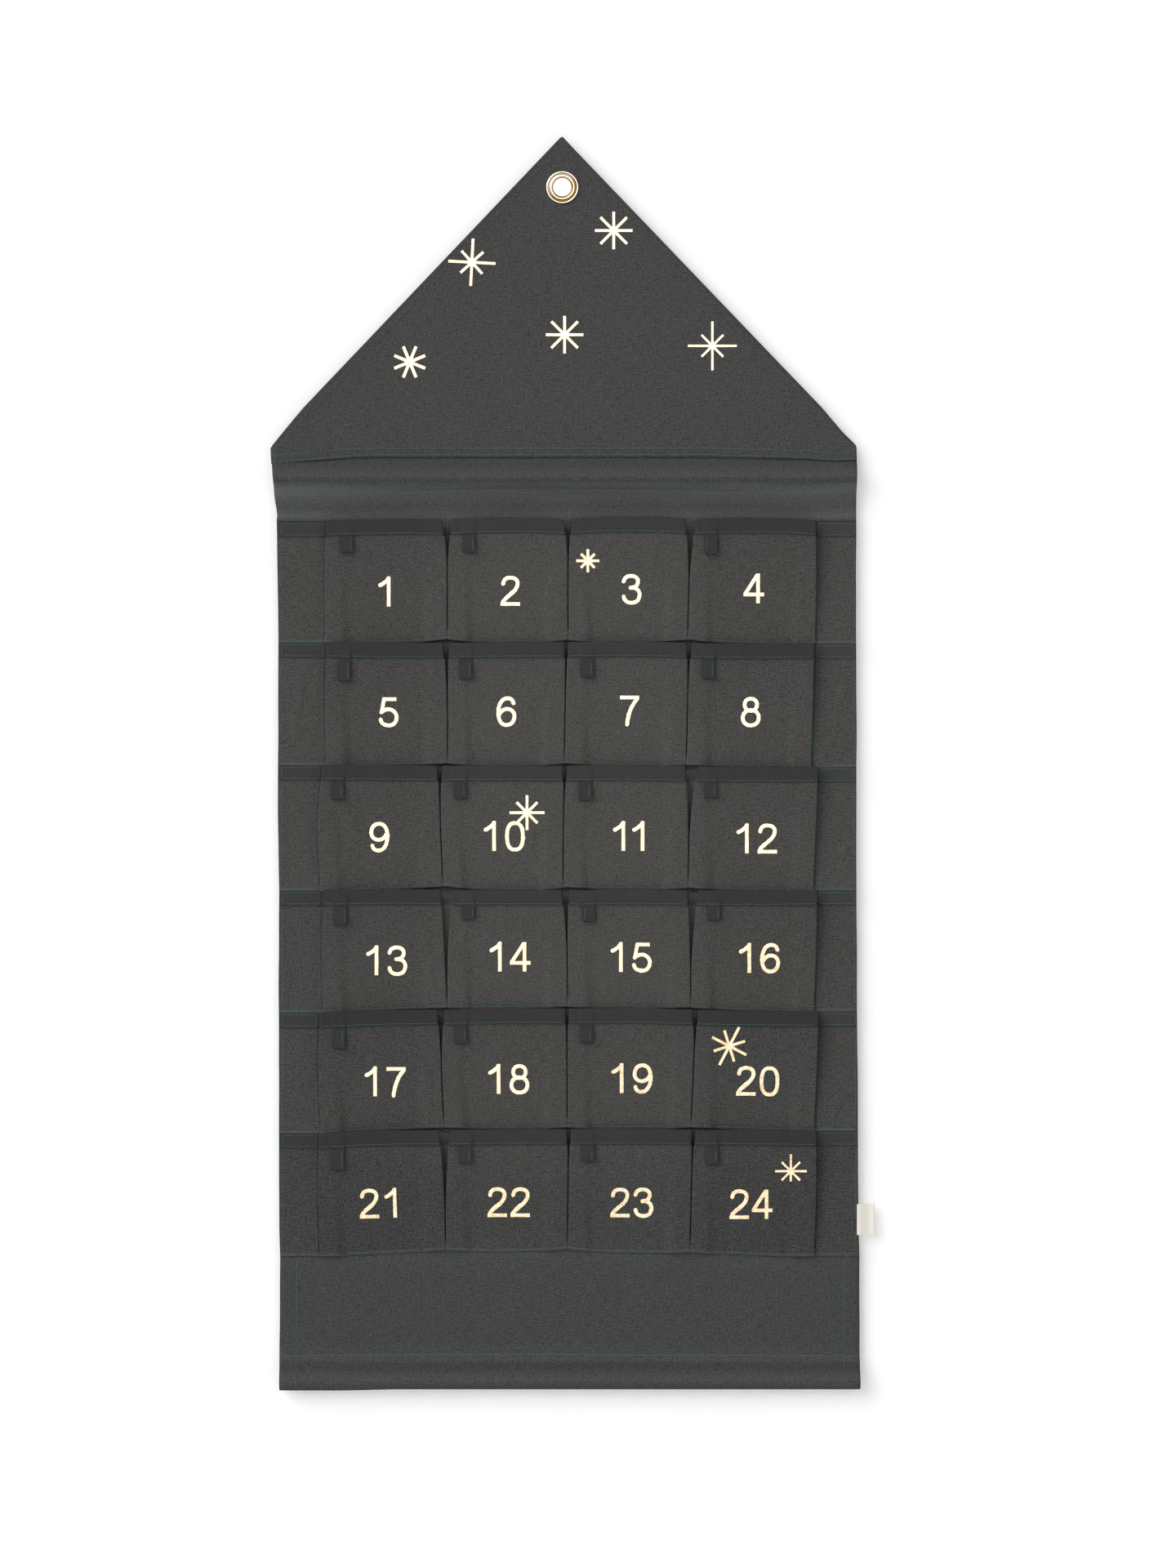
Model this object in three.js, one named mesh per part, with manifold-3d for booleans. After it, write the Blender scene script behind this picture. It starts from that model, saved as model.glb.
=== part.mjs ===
// Hanging advent calendar of cotton canvas: a roof-shaped top with a brass eyelet, a back panel
// stiffened by two dowels in sewn tunnels, six pleated pocket strips of four pockets each,
// tape loops under the pocket hems and a blank woven label at the right edge.
//
// Millimetres. X runs across, Z up, and the front faces -Y. The wall is the plane Y = 0,
// and the origin is where the eyelet's axis meets it.

import * as THREE from 'three';
import { mergeVertices } from 'three/addons/utils/BufferGeometryUtils.js';
import Module from 'manifold-3d';

// Cloth and clearances
const clothThick = 0.8;
const seatGap = 0.3; // between two pieces that lie on each other
const layerGap = 0.35; // between two layers of one folded cloth
const overrun = 0.4; // how far a cutter or a joined layer reaches past its face

// Back panel
const panelWidth = 450;
const panelShift = 5.6; // centre of the pocket field, to the right of the eyelet
const tunnelLean = 3; // the upper tunnel's top hangs this far to the left of the pocket field
const seamLeanShare = 0.75; // what is left of that lean at the tunnel's seam
const sideHemWidth = 11;
const upperTunnelHeight = 25.1; // roof edge down to the tunnel's seam
const plainAboveRows = 22.9; // tunnel seam down to the first mouth
const plainBelowRows = 79.9; // last row down to the lower tunnel's seam
const lowerTunnelHeight = 25.2;
const hemTuck = 2; // tunnel hem left beyond its seam

// Dowels, one loose in each tunnel
const dowelDiameter = 10;
const dowelEndGap = 15; // each end of a dowel lies this far inside the panel's edge
const dowelChamfer = 0.8;
const dowelSeatShare = 1.4; // height of the upper dowel over its seam, in radii of the cloth round it

// Roof
const apexRise = 39.3; // over the eyelet's axis
const roofHeight = 240.8; // apex down to the eaves
const roofOverhang = 1.5; // each side, past the pocket field's width
const roofShift = 1.3; // centre of the eaves, to the right of the eyelet
const eavesTilt = 1.25; // left corner lower and right corner higher by this
const tipWidth = 4; // of the blunt apex
const roofHemFall = 7.9; // eaves corners down to the roof's lower edge
const roofEdgeDip = 2.4; // lower edge hangs lower at its corners by this
const roofDipWidth = 80; // length of the dipping stretch at each corner
const roofHemWidth = 9;

// Eyelet: a flanged barrel from behind, rolled over a washer in front of the cloth
const eyeletDiameter = 25.4;
const eyeletBore = 14.3;
const metalThick = 0.5;
const curlRadius = 1.45; // of the barrel's rolled rim
const rimHeight = 1.4; // raised band round the washer
const rimWidth = 1.8;
const flangeCrown = 1.2; // of the rear flange

// Pocket strips
const rowCount = 6;
const columnCount = 4;
const rowPitch = 94.9;
const wingWidth = 34.2; // flat cloth at each end of a strip, outside its pockets
const pocketHeight = 92.8;
const stripEdge = 0.6; // panel edge left free beside a strip
const pleatDepth = 12; // hidden cloth on each side of a pleat seam
const mouthStandShare = 0.77; // pocket front off the panel at its mouth, in pleat depths
const slitHalf = 0.35; // half the slit between two pockets, below the mouth
const mouthSlitHalf = 2.5; // half the slit at the mouth
const settleWidth = 7; // the front runs down beside its pleat over this width
const bellyShare = 0.25; // how far a pocket front bulges past a straight slope
const bottomSag = 1.8; // the lower edge sags between two seams
const bandHeight = 12; // hem turned to the front
const bandStep = 0.4; // slope of the hem's lower edge
const levelShares = [0, 0.27, 0.68]; // heights of the lower sections, as shares of the pocket
const rowSlipShares = [0, 0.012, 0.017, 0.012, 0.007, 0.002]; // rows sewn low, in row pitches
const columnSlipShares = [0, 0.004, -0.019, -0.019, 0]; // seams sewn to the right, in column pitches

// Tape loops, under every hem but those of pockets 3 and 20
const tapeWidth = 10;
const tapeThick = 0.5;
const rootRadius = 0.55; // half the thickness where both layers are sewn together
const foldRadius = 1; // of the open fold at the bottom
const loopLength = 14; // hem edge down to the fold
const eyeDrop = 3; // top of the loop's eye below its root
const eyeGap = 0.3; // width of the eye at its top
// Where each loop's left edge hangs, from the pocket's left seam in column pitches
const loopPlaceShares = [
  [0.14, 0.127, null, 0.113],
  [0.117, 0.099, 0.11, 0.093],
  [0.064, 0.054, 0.094, 0.11],
  [0.089, 0.123, 0.122, 0.14],
  [0.073, 0.059, 0.102, null],
  [0.068, 0.096, 0.116, 0.122],
];
// How long each loop is, in loop lengths
const loopLengthShares = [
  [1.01, 1.01, null, 1.09],
  [1.24, 1.15, 1.05, 1.13],
  [0.99, 0.94, 1.05, 0.91],
  [1.18, 0.89, 1.01, 0.92],
  [1.29, 0.99, 0.95, null],
  [1.25, 0.86, 0.79, 0.94],
];

// Label, a folded woven tag without print
const labelReach = 10.9; // out of the side hem
const labelHeight = 24.1;
const labelThick = 0.8;
const labelDrop = 68.3; // mouth of the last row down to the label's middle

// Facets
const dowelSides = 24;
const lathePoints = 36;
const arcSteps = 6;
const foldSteps = 4;

// Levels and places worked out from the driving dimensions
const panelLeft = panelShift - panelWidth / 2;
const panelRight = panelShift + panelWidth / 2;
const panelFront = -2 * clothThick;
const sheetMiddle = -1.5 * clothThick;
const hemMiddle = -0.5 * clothThick;
const eavesLevel = apexRise - roofHeight;
const roofEdgeLevel = eavesLevel - roofHemFall;
const panelTop = roofEdgeLevel + roofHemWidth - overrun;
const upperSeamLevel = roofEdgeLevel - upperTunnelHeight;
const firstMouthLevel = upperSeamLevel - plainAboveRows;
const lowerSeamLevel = firstMouthLevel - rowCount * rowPitch - plainBelowRows;
const panelBottom = lowerSeamLevel - lowerTunnelHeight;
const dowelRadius = dowelDiameter / 2;
const dowelLength = panelWidth - 2 * dowelEndGap;
const dowelPlaneY = -(clothThick + seatGap + dowelRadius);
const clothRound = dowelRadius + seatGap + clothThick / 2;
const upperDowelLevel = upperSeamLevel + dowelSeatShare * (clothRound + clothThick / 2);
const lowerDowelLevel = panelBottom + clothThick / 2 + clothRound;
const roofBack = panelFront - seatGap;
const roofSheetBack = roofBack - clothThick;
const roofFront = roofSheetBack - clothThick;
const barrelRadius = eyeletBore / 2 + metalThick;
const stripPlaneY = panelFront - seatGap - clothThick / 2;
const mouthStand = mouthStandShare * pleatDepth;
const turnRadius = (clothThick + layerGap) / 2;
const columnPitch = (panelWidth - 2 * wingWidth) / columnCount;
const firstSeam = panelLeft + wingWidth;
const seams = columnSlipShares.map((slip, column) => firstSeam + (column + slip) * columnPitch);
const mouths = rowSlipShares.map((slip, row) => firstMouthLevel - (row + slip) * rowPitch);

const canvas = new THREE.MeshStandardMaterial({ color: 0x484947, roughness: 0.95 });
const pocketCanvas = new THREE.MeshStandardMaterial({ color: 0x474643, roughness: 0.95 });
const tape = new THREE.MeshStandardMaterial({ color: 0x3c3d3b, roughness: 0.9 });
const brass = new THREE.MeshStandardMaterial({ color: 0xd9b56a, roughness: 0.25, metalness: 1 });
const wood = new THREE.MeshStandardMaterial({ color: 0xc9a77b, roughness: 0.7 });
const wovenLabel = new THREE.MeshStandardMaterial({ color: 0xece8dc, roughness: 0.9 });

const wasm = await Module();
wasm.setup();

/** Turns a closed geometry into a solid that can be joined and cut. */
function toSolid(geometry) {
  const bare = geometry.clone();
  bare.deleteAttribute('normal');
  bare.deleteAttribute('uv');
  const merged = mergeVertices(bare);
  return new wasm.Manifold(new wasm.Mesh({
    numProp: 3,
    vertProperties: new Float32Array(merged.attributes.position.array),
    triVerts: new Uint32Array(merged.index.array),
  }));
}

/** Turns a joined or cut solid back into a geometry. */
function toGeometry(solid) {
  const { vertProperties, triVerts } = solid.getMesh();
  const geometry = new THREE.BufferGeometry();
  geometry.setAttribute('position', new THREE.Float32BufferAttribute(vertProperties, 3));
  geometry.setIndex(Array.from(triVerts));
  return geometry;
}

/** Joins several closed geometries into one solid. */
function join(geometries) {
  return geometries.map(toSolid).reduce((whole, next) => whole.add(next));
}

/** Extrudes a shape drawn in (Y, Z) along X, from one place to another. */
function alongX(shape, from, to) {
  const geometry = new THREE.ExtrudeGeometry(shape, { depth: to - from, bevelEnabled: false });
  const axes = new THREE.Matrix4().makeBasis(
    new THREE.Vector3(0, 1, 0),
    new THREE.Vector3(0, 0, 1),
    new THREE.Vector3(1, 0, 0),
  );
  return geometry.applyMatrix4(axes).translate(from, 0, 0);
}

/** Extrudes a shape drawn in (X, Z) along Y, from its back face to its front face. */
function alongY(shape, back, front) {
  const settings = { depth: back - front, bevelEnabled: false, curveSegments: dowelSides };
  const axes = new THREE.Matrix4().makeBasis(
    new THREE.Vector3(1, 0, 0),
    new THREE.Vector3(0, 0, 1),
    new THREE.Vector3(0, -1, 0),
  );
  return new THREE.ExtrudeGeometry(shape, settings).applyMatrix4(axes).translate(0, back, 0);
}

/** A block between two corners. */
function block(low, high) {
  const size = high.clone().sub(low);
  const middle = low.clone().add(high).divideScalar(2);
  return new THREE.BoxGeometry(...size).translate(...middle);
}

/** Points of an arc, both ends among them. */
function arcPoints(centre, radius, start, end, steps) {
  return Array.from({ length: steps + 1 }, (_, step) => {
    const angle = start + ((end - start) * step) / steps;
    const spoke = new THREE.Vector2(Math.cos(angle), Math.sin(angle));
    return spoke.multiplyScalar(radius).add(centre);
  });
}

/**
 * Both sides of a sheet whose middle line is given. The left side, seen along the line, stands
 * off further by what extra holds at each point.
 */
function sheetSides(line, thick, extra = line.map(() => 0)) {
  const left = [];
  const right = [];
  line.forEach((point, index) => {
    const before = line[Math.max(index - 1, 0)];
    const after = line[Math.min(index + 1, line.length - 1)];
    const leaving = (index < line.length - 1 ? after : point).clone();
    leaving.sub(index < line.length - 1 ? point : before).normalize();
    const arriving = index > 0 ? point.clone().sub(before).normalize() : leaving;
    const normal = new THREE.Vector2(-arriving.y, arriving.x);
    const mitre = new THREE.Vector2(-leaving.y, leaving.x).add(normal).normalize();
    const reach = thick / 2 / mitre.dot(normal);
    left.push(point.clone().addScaledVector(mitre, reach + extra[index]));
    right.push(point.clone().addScaledVector(mitre, -reach));
  });
  return { left, right };
}

/** Closed outline of a sheet of even thickness. */
function sheetOutline(line, thick) {
  const { left, right } = sheetSides(line, thick);
  return [...left, ...right.reverse()];
}

/** Angle, from a dowel's centre, at which a line from a point touches the cloth's round. */
function touchAngle(point, centre, turn) {
  const away = point.clone().sub(centre);
  return away.angle() + turn * Math.acos(clothRound / away.length());
}

/** Back panel: one cloth with a tunnel at each end and side hems folded to the back. */
function makeBackPanel() {
  const upperCentre = new THREE.Vector2(dowelPlaneY, upperDowelLevel);
  const lowerCentre = new THREE.Vector2(dowelPlaneY, lowerDowelLevel);
  const tunnelStart = new THREE.Vector2(sheetMiddle, roofEdgeLevel - roofEdgeDip - seatGap);
  const upperSeam = new THREE.Vector2(sheetMiddle, upperSeamLevel);
  const lowerSeam = new THREE.Vector2(sheetMiddle, lowerSeamLevel);
  const upperTouches = [touchAngle(tunnelStart, upperCentre, 1), touchAngle(upperSeam, upperCentre, -1)];
  const lowerTouch = touchAngle(lowerSeam, lowerCentre, 1);
  const backEnd = lowerSeamLevel - clothThick;
  const sheet = new THREE.Shape(sheetOutline([
    new THREE.Vector2(sheetMiddle, panelTop),
    tunnelStart,
    ...arcPoints(upperCentre, clothRound, ...upperTouches, arcSteps),
    upperSeam,
    lowerSeam,
    ...arcPoints(lowerCentre, clothRound, lowerTouch, 2 * Math.PI, 2 * arcSteps),
    new THREE.Vector2(hemMiddle, backEnd),
  ], clothThick));

  const left = panelLeft - tunnelLean - overrun;
  const right = panelRight + overrun;
  const layer = (from, to, front, low, high) => block(
    new THREE.Vector3(from, front, low),
    new THREE.Vector3(to, 0, high),
  );
  const joined = -clothThick - overrun / 4;
  const upperTuck = upperSeamLevel - hemTuck;
  const lowerTuck = lowerSeamLevel + hemTuck;
  const panel = join([
    alongX(sheet, left, right),
    layer(left, right, -clothThick, upperTuck, panelTop),
    layer(left, right, joined, tunnelStart.y, panelTop),
    layer(left, right, joined, upperTuck, upperSeamLevel),
    layer(left, right, joined, backEnd, lowerTuck),
    layer(left, panelLeft + sideHemWidth, joined, backEnd, upperSeamLevel),
    layer(panelRight - sideHemWidth, right, joined, backEnd, upperSeamLevel),
  ]);

  const seamLean = seamLeanShare * tunnelLean;
  const outline = new THREE.Shape([
    new THREE.Vector2(panelLeft - tunnelLean, panelTop + overrun),
    new THREE.Vector2(panelLeft - seamLean, upperSeamLevel),
    new THREE.Vector2(panelLeft, firstMouthLevel),
    new THREE.Vector2(panelLeft, panelBottom - overrun),
    new THREE.Vector2(panelRight, panelBottom - overrun),
    new THREE.Vector2(panelRight, firstMouthLevel),
    new THREE.Vector2(panelRight - seamLean, upperSeamLevel),
    new THREE.Vector2(panelRight - tunnelLean, panelTop + overrun),
  ]);
  const cutter = toSolid(alongY(outline, overrun, dowelPlaneY - 2 * clothRound));
  return toGeometry(panel.intersect(cutter));
}

/** Where the line through a and b meets the line through c and d. */
function meet(a, b, c, d) {
  const along = b.clone().sub(a);
  const other = d.clone().sub(c);
  const step = c.clone().sub(a).cross(other) / along.cross(other);
  return a.clone().addScaledVector(along, step);
}

/** Both ends of a roof slope's hem line, moved square to the slope towards the roof's middle. */
function hemLine(eaves, tip) {
  const slope = tip.clone().sub(eaves).normalize();
  const inward = new THREE.Vector2(-slope.y, slope.x);
  inward.multiplyScalar(-Math.sign(inward.x * eaves.x) * roofHemWidth);
  return [eaves.clone().add(inward), tip.clone().add(inward)];
}

/** Roof: one cloth with its hems folded to the back and a hole for the eyelet's barrel. */
function makeRoof() {
  const half = panelWidth / 2 + roofOverhang;
  const tip = tipWidth / 2;
  const leftEaves = new THREE.Vector2(roofShift - half, eavesLevel - eavesTilt);
  const rightEaves = new THREE.Vector2(roofShift + half, eavesLevel + eavesTilt);
  const leftTip = new THREE.Vector2(-tip, apexRise - tip);
  const rightTip = new THREE.Vector2(tip, apexRise - tip);
  const edgeLeft = panelLeft - tunnelLean - roofOverhang / 2;
  const edgeRight = panelRight - tunnelLean + roofOverhang / 2;
  const drawOutline = () => {
    const outline = new THREE.Shape();
    outline.moveTo(...rightTip);
    outline.quadraticCurveTo(0, apexRise + tip, ...leftTip);
    outline.lineTo(...leftEaves);
    outline.lineTo(edgeLeft, roofEdgeLevel - roofEdgeDip);
    outline.lineTo(edgeLeft + roofDipWidth, roofEdgeLevel);
    outline.lineTo(edgeRight - roofDipWidth, roofEdgeLevel);
    outline.lineTo(edgeRight, roofEdgeLevel - roofEdgeDip);
    outline.lineTo(...rightEaves);
    outline.closePath();
    return outline;
  };
  const leftHem = hemLine(leftEaves, leftTip);
  const rightHem = hemLine(rightEaves, rightTip);
  const hemLevel = roofEdgeLevel + roofHemWidth;
  const lowHem = [new THREE.Vector2(edgeLeft, hemLevel), new THREE.Vector2(edgeRight, hemLevel)];
  const sheet = drawOutline();
  sheet.holes.push(new THREE.Path().absarc(0, 0, barrelRadius + seatGap, 0, 2 * Math.PI));
  const hem = drawOutline();
  hem.holes.push(new THREE.Path([
    meet(...leftHem, ...lowHem),
    meet(...rightHem, ...lowHem),
    meet(...leftHem, ...rightHem),
  ]));
  const hemLayer = alongY(hem, roofBack, roofSheetBack - overrun / 4);
  return toGeometry(join([alongY(sheet, roofSheetBack, roofFront), hemLayer]));
}

/** Revolves a metal section, whose middle line is given as (radius, Y), round the eyelet's axis. */
function revolve(line) {
  const outline = sheetOutline(line, metalThick);
  return outward(new THREE.LatheGeometry([...outline, outline[0]], lathePoints));
}

/** Points of half an ellipse over a width, from its outer foot to its inner foot. */
function crownPoints(outer, inner, foot, crown, steps) {
  const middle = new THREE.Vector2((outer + inner) / 2, foot);
  const size = new THREE.Vector2((outer - inner) / 2, crown);
  const round = arcPoints(new THREE.Vector2(), 1, 0, Math.PI, steps);
  return round.map((point) => point.multiply(size).add(middle));
}

/** Rear flange, barrel and rolled rim, drawn from one piece of metal. */
function makeEyeletFlange() {
  const outer = (eyeletDiameter - metalThick) / 2;
  const barrel = (eyeletBore + metalThick) / 2;
  const foot = roofSheetBack + seatGap + metalThick / 2;
  const curlFoot = roofFront - 2 * seatGap - metalThick;
  const curlCentre = new THREE.Vector2(eyeletBore / 2 + curlRadius, curlFoot - curlRadius);
  const curl = arcPoints(curlCentre, curlRadius - metalThick / 2, Math.PI, 2.4 * Math.PI, arcSteps + 2);
  return revolve([...crownPoints(outer, barrel, foot, flangeCrown, arcSteps), ...curl]);
}

/** Front washer with a raised band round its edge. */
function makeEyeletWasher() {
  const foot = roofFront - seatGap - metalThick / 2;
  const outer = (eyeletDiameter - metalThick) / 2;
  const inner = barrelRadius + seatGap;
  const band = crownPoints(outer, outer - rimWidth + metalThick, foot, -rimHeight, foldSteps);
  return revolve([...band, new THREE.Vector2(inner, foot)]);
}

/** Turns a closed geometry's faces out if they point in. */
function outward(geometry) {
  const position = geometry.attributes.position;
  const index = geometry.index;
  const corners = [new THREE.Vector3(), new THREE.Vector3(), new THREE.Vector3()];
  let volume = 0;
  for (let face = 0; face < index.count; face += 3) {
    corners.forEach((corner, turn) => corner.fromBufferAttribute(position, index.getX(face + turn)));
    volume += corners[0].dot(corners[1].clone().cross(corners[2]));
  }
  if (volume < 0) {
    geometry.setIndex(Array.from(index.array).reverse());
  }
  return geometry;
}

/** Wooden dowel along its own Y, with chamfered ends. */
function makeDowel() {
  const half = dowelLength / 2;
  const end = dowelRadius - dowelChamfer;
  return outward(new THREE.LatheGeometry([
    new THREE.Vector2(0, -half),
    new THREE.Vector2(end, -half),
    new THREE.Vector2(dowelRadius, dowelChamfer - half),
    new THREE.Vector2(dowelRadius, half - dowelChamfer),
    new THREE.Vector2(end, half),
    new THREE.Vector2(0, half),
  ], dowelSides));
}

/**
 * Middle line of the cloth beside a pleat seam, as (across, off the panel): out along the panel,
 * round the hidden fold, back, and round the visible fold into the pocket's front.
 */
function pleatLine(slit, stand) {
  const rise = stand - 2 * turnRadius;
  const visible = new THREE.Vector2(slit + clothThick / 2, stand - turnRadius);
  const run = Math.sqrt(pleatDepth ** 2 - rise ** 2);
  const hidden = new THREE.Vector2(visible.x + run - turnRadius, turnRadius);
  const span = visible.clone().sub(hidden);
  const angle = span.angle() - Math.acos((2 * turnRadius) / span.length());
  const touch = new THREE.Vector2(Math.cos(angle), Math.sin(angle)).multiplyScalar(turnRadius);
  return [
    new THREE.Vector2(hidden.x, 0),
    hidden.clone().add(touch),
    visible.clone().sub(touch),
    new THREE.Vector2(visible.x, stand),
  ];
}

/**
 * Middle line of a whole strip at one height, as (X, off the panel), with the share of the front
 * hem and of the lower edge's sag that each point takes.
 */
function stripLine(share) {
  const fullness = share + bellyShare * share * (1 - share);
  const stand = 4 * turnRadius * (1 - fullness) + mouthStand * fullness;
  const opening = Math.max(0, (share - levelShares[2]) / (1 - levelShares[2]));
  const pleat = pleatLine(THREE.MathUtils.lerp(slitHalf, mouthSlitHalf, opening), stand);
  const hiddenEnd = pleat[0].x + clothThick;
  const front = [
    new THREE.Vector2(hiddenEnd, stand),
    new THREE.Vector2(hiddenEnd + settleWidth, mouthStand * fullness),
  ];
  const half = [
    ...pleat.map((point, index) => ({ point, hem: index === pleat.length - 1 ? 1 : 0, sag: 0 })),
    ...front.map((point, index) => ({ point, hem: 1, sag: index })),
  ];
  const line = [
    { point: new THREE.Vector2(panelLeft + stripEdge, 0), hem: 1, sag: 0 },
    { point: new THREE.Vector2(seams[0] - mouthSlitHalf, 0), hem: 1, sag: 0 },
  ];
  seams.forEach((seam, column) => {
    const place = (turn) => ({ point, hem, sag }) => (
      { point: new THREE.Vector2(seam + turn * point.x, point.y), hem, sag }
    );
    if (column > 0) {
      line.push(...half.map(place(-1)).reverse());
    }
    line.push({ point: new THREE.Vector2(seam, 0), hem: 0, sag: 0 });
    if (column < columnCount) {
      line.push(...half.map(place(1)));
    }
  });
  line.push(
    { point: new THREE.Vector2(seams[columnCount] + mouthSlitHalf, 0), hem: 1, sag: 0 },
    { point: new THREE.Vector2(panelRight - stripEdge, 0), hem: 1, sag: 0 },
  );
  return line;
}

/** One section of a strip: the corners of its front and back face at one height. */
function stripSection(height, hemmed) {
  const line = stripLine(height / pocketHeight);
  const extra = line.map(({ hem }) => (hemmed ? hem * clothThick : 0));
  const { left, right } = sheetSides(line.map(({ point }) => point), clothThick, extra);
  const sag = height > 0 ? 0 : bottomSag;
  const lift = (side) => side.map((point, index) => (
    new THREE.Vector3(point.x, -point.y, height - pocketHeight - sag * line[index].sag)
  ));
  return { front: lift(left), back: lift(right) };
}

/** Closed cloth between stacked sections, each with as many points. */
function loftCloth(sections) {
  const width = sections[0].front.length;
  const corners = sections.flatMap(({ front, back }) => [...front, ...back]);
  const frontAt = (level, index) => level * 2 * width + index;
  const backAt = (level, index) => frontAt(level, index) + width;
  const faces = [];
  const quad = (a, b, c, d) => faces.push(a, b, c, a, c, d);
  for (let level = 0; level < sections.length - 1; level += 1) {
    const up = level + 1;
    for (let index = 0; index < width - 1; index += 1) {
      const next = index + 1;
      quad(frontAt(level, index), frontAt(level, next), frontAt(up, next), frontAt(up, index));
      quad(backAt(level, next), backAt(level, index), backAt(up, index), backAt(up, next));
    }
    const last = width - 1;
    quad(backAt(level, 0), frontAt(level, 0), frontAt(up, 0), backAt(up, 0));
    quad(frontAt(level, last), backAt(level, last), backAt(up, last), frontAt(up, last));
  }
  const top = sections.length - 1;
  for (let index = 0; index < width - 1; index += 1) {
    const next = index + 1;
    quad(backAt(0, index), backAt(0, next), frontAt(0, next), frontAt(0, index));
    quad(backAt(top, index), frontAt(top, index), frontAt(top, next), backAt(top, next));
  }
  const geometry = new THREE.BufferGeometry().setFromPoints(corners);
  geometry.setIndex(faces);
  return geometry;
}

/** Pocket strip: one cloth, pleated at each seam, its mouth at z = 0 and its hem at the front. */
function makePocketStrip() {
  const hemEdge = pocketHeight - bandHeight;
  return loftCloth([
    ...levelShares.map((share) => stripSection(share * pocketHeight, false)),
    stripSection(hemEdge - bandStep, false),
    stripSection(hemEdge, true),
    stripSection(pocketHeight, true),
  ]);
}

/** Tape loop hanging from its root at the origin, folded at the bottom and open along X. */
function makeTapeLoop(length) {
  const foldLevel = foldRadius - length;
  const foldCentre = new THREE.Vector2(rootRadius - foldRadius, foldLevel);
  const eye = arcPoints(foldCentre, foldRadius - tapeThick, 0, -Math.PI, foldSteps);
  const outline = new THREE.Shape([
    ...arcPoints(new THREE.Vector2(), rootRadius, 0, Math.PI, foldSteps),
    ...arcPoints(foldCentre, foldRadius, -Math.PI, 0, foldSteps),
  ]);
  outline.holes.push(new THREE.Path([
    new THREE.Vector2(eye[0].x, -eyeDrop),
    ...eye,
    new THREE.Vector2(eye[0].x - eyeGap, -eyeDrop),
  ]));
  return alongX(outline, 0, tapeWidth);
}

/** Woven label, folded at its outer edge, with its root along the origin's Z axis. */
function makeLabel() {
  const radius = labelThick / 2;
  const tip = new THREE.Vector2(labelReach - radius, 0);
  const outline = new THREE.Shape([
    ...arcPoints(new THREE.Vector2(), radius, Math.PI / 2, 1.5 * Math.PI, foldSteps),
    ...arcPoints(tip, radius, -Math.PI / 2, Math.PI / 2, foldSteps),
  ]);
  const settings = { depth: labelHeight, bevelEnabled: false };
  return new THREE.ExtrudeGeometry(outline, settings).translate(0, 0, -labelHeight / 2);
}

const calendar = new THREE.Group();

/** Adds a named piece to a group at a place. */
function place(group, name, geometry, material, x = 0, y = 0, z = 0) {
  const piece = new THREE.Mesh(geometry, material);
  piece.name = name;
  piece.position.set(x, y, z);
  group.add(piece);
  return piece;
}

place(calendar, 'back_panel', makeBackPanel(), canvas);
place(calendar, 'roof', makeRoof(), canvas);
place(calendar, 'eyelet_flange', makeEyeletFlange(), brass);
place(calendar, 'eyelet_washer', makeEyeletWasher(), brass);

const dowel = makeDowel();
const upperDowelX = panelShift - seamLeanShare * tunnelLean;
const upperDowel = place(calendar, 'upper_dowel', dowel, wood, upperDowelX, dowelPlaneY, upperDowelLevel);
const lowerDowel = place(calendar, 'lower_dowel', dowel, wood, panelShift, dowelPlaneY, lowerDowelLevel);
upperDowel.rotation.z = Math.PI / 2;
lowerDowel.rotation.z = Math.PI / 2;

const strip = makePocketStrip();
const hemShare = (pocketHeight - bandHeight) / pocketHeight;
const hemStand = Math.max(...stripLine(hemShare).map(({ point }) => point.y));
const rootY = -(hemStand + clothThick / 2 + seatGap + rootRadius);
const rootZ = -bandHeight - seatGap - rootRadius;
mouths.forEach((mouth, row) => {
  const pocketRow = new THREE.Group();
  pocketRow.position.set(0, stripPlaneY, mouth);
  place(pocketRow, `pocket_strip_${row + 1}`, strip, pocketCanvas);
  loopPlaceShares[row].forEach((share, column) => {
    if (share === null) {
      return;
    }
    const number = String(row * columnCount + column + 1).padStart(2, '0');
    const length = loopLengthShares[row][column] * loopLength - seatGap - rootRadius;
    const x = seams[column] + share * columnPitch;
    place(pocketRow, `tape_loop_${number}`, makeTapeLoop(length), tape, x, rootY, rootZ);
  });
  calendar.add(pocketRow);
});

const labelX = panelRight + seatGap + labelThick / 2;
const labelZ = mouths[rowCount - 1] - labelDrop;
place(calendar, 'side_label', makeLabel(), wovenLabel, labelX, panelFront / 2, labelZ);

export default calendar;
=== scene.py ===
"""Looks of a hanging cloth advent calendar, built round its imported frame.

Lengths are millimetres inside the classes and metres in the meshes. X runs across, Z up, the front
faces -Y, and the origin is where the eyelet's axis meets the wall.
"""

import logging
import math
from dataclasses import dataclass, field
from enum import Enum
from typing import Callable, Optional, Sequence, Union

import bmesh
import bpy
import numpy as np
from mathutils import Matrix, Vector, noise
from mathutils.bvhtree import BVHTree
from mathutils.geometry import delaunay_2d_cdt


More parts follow.
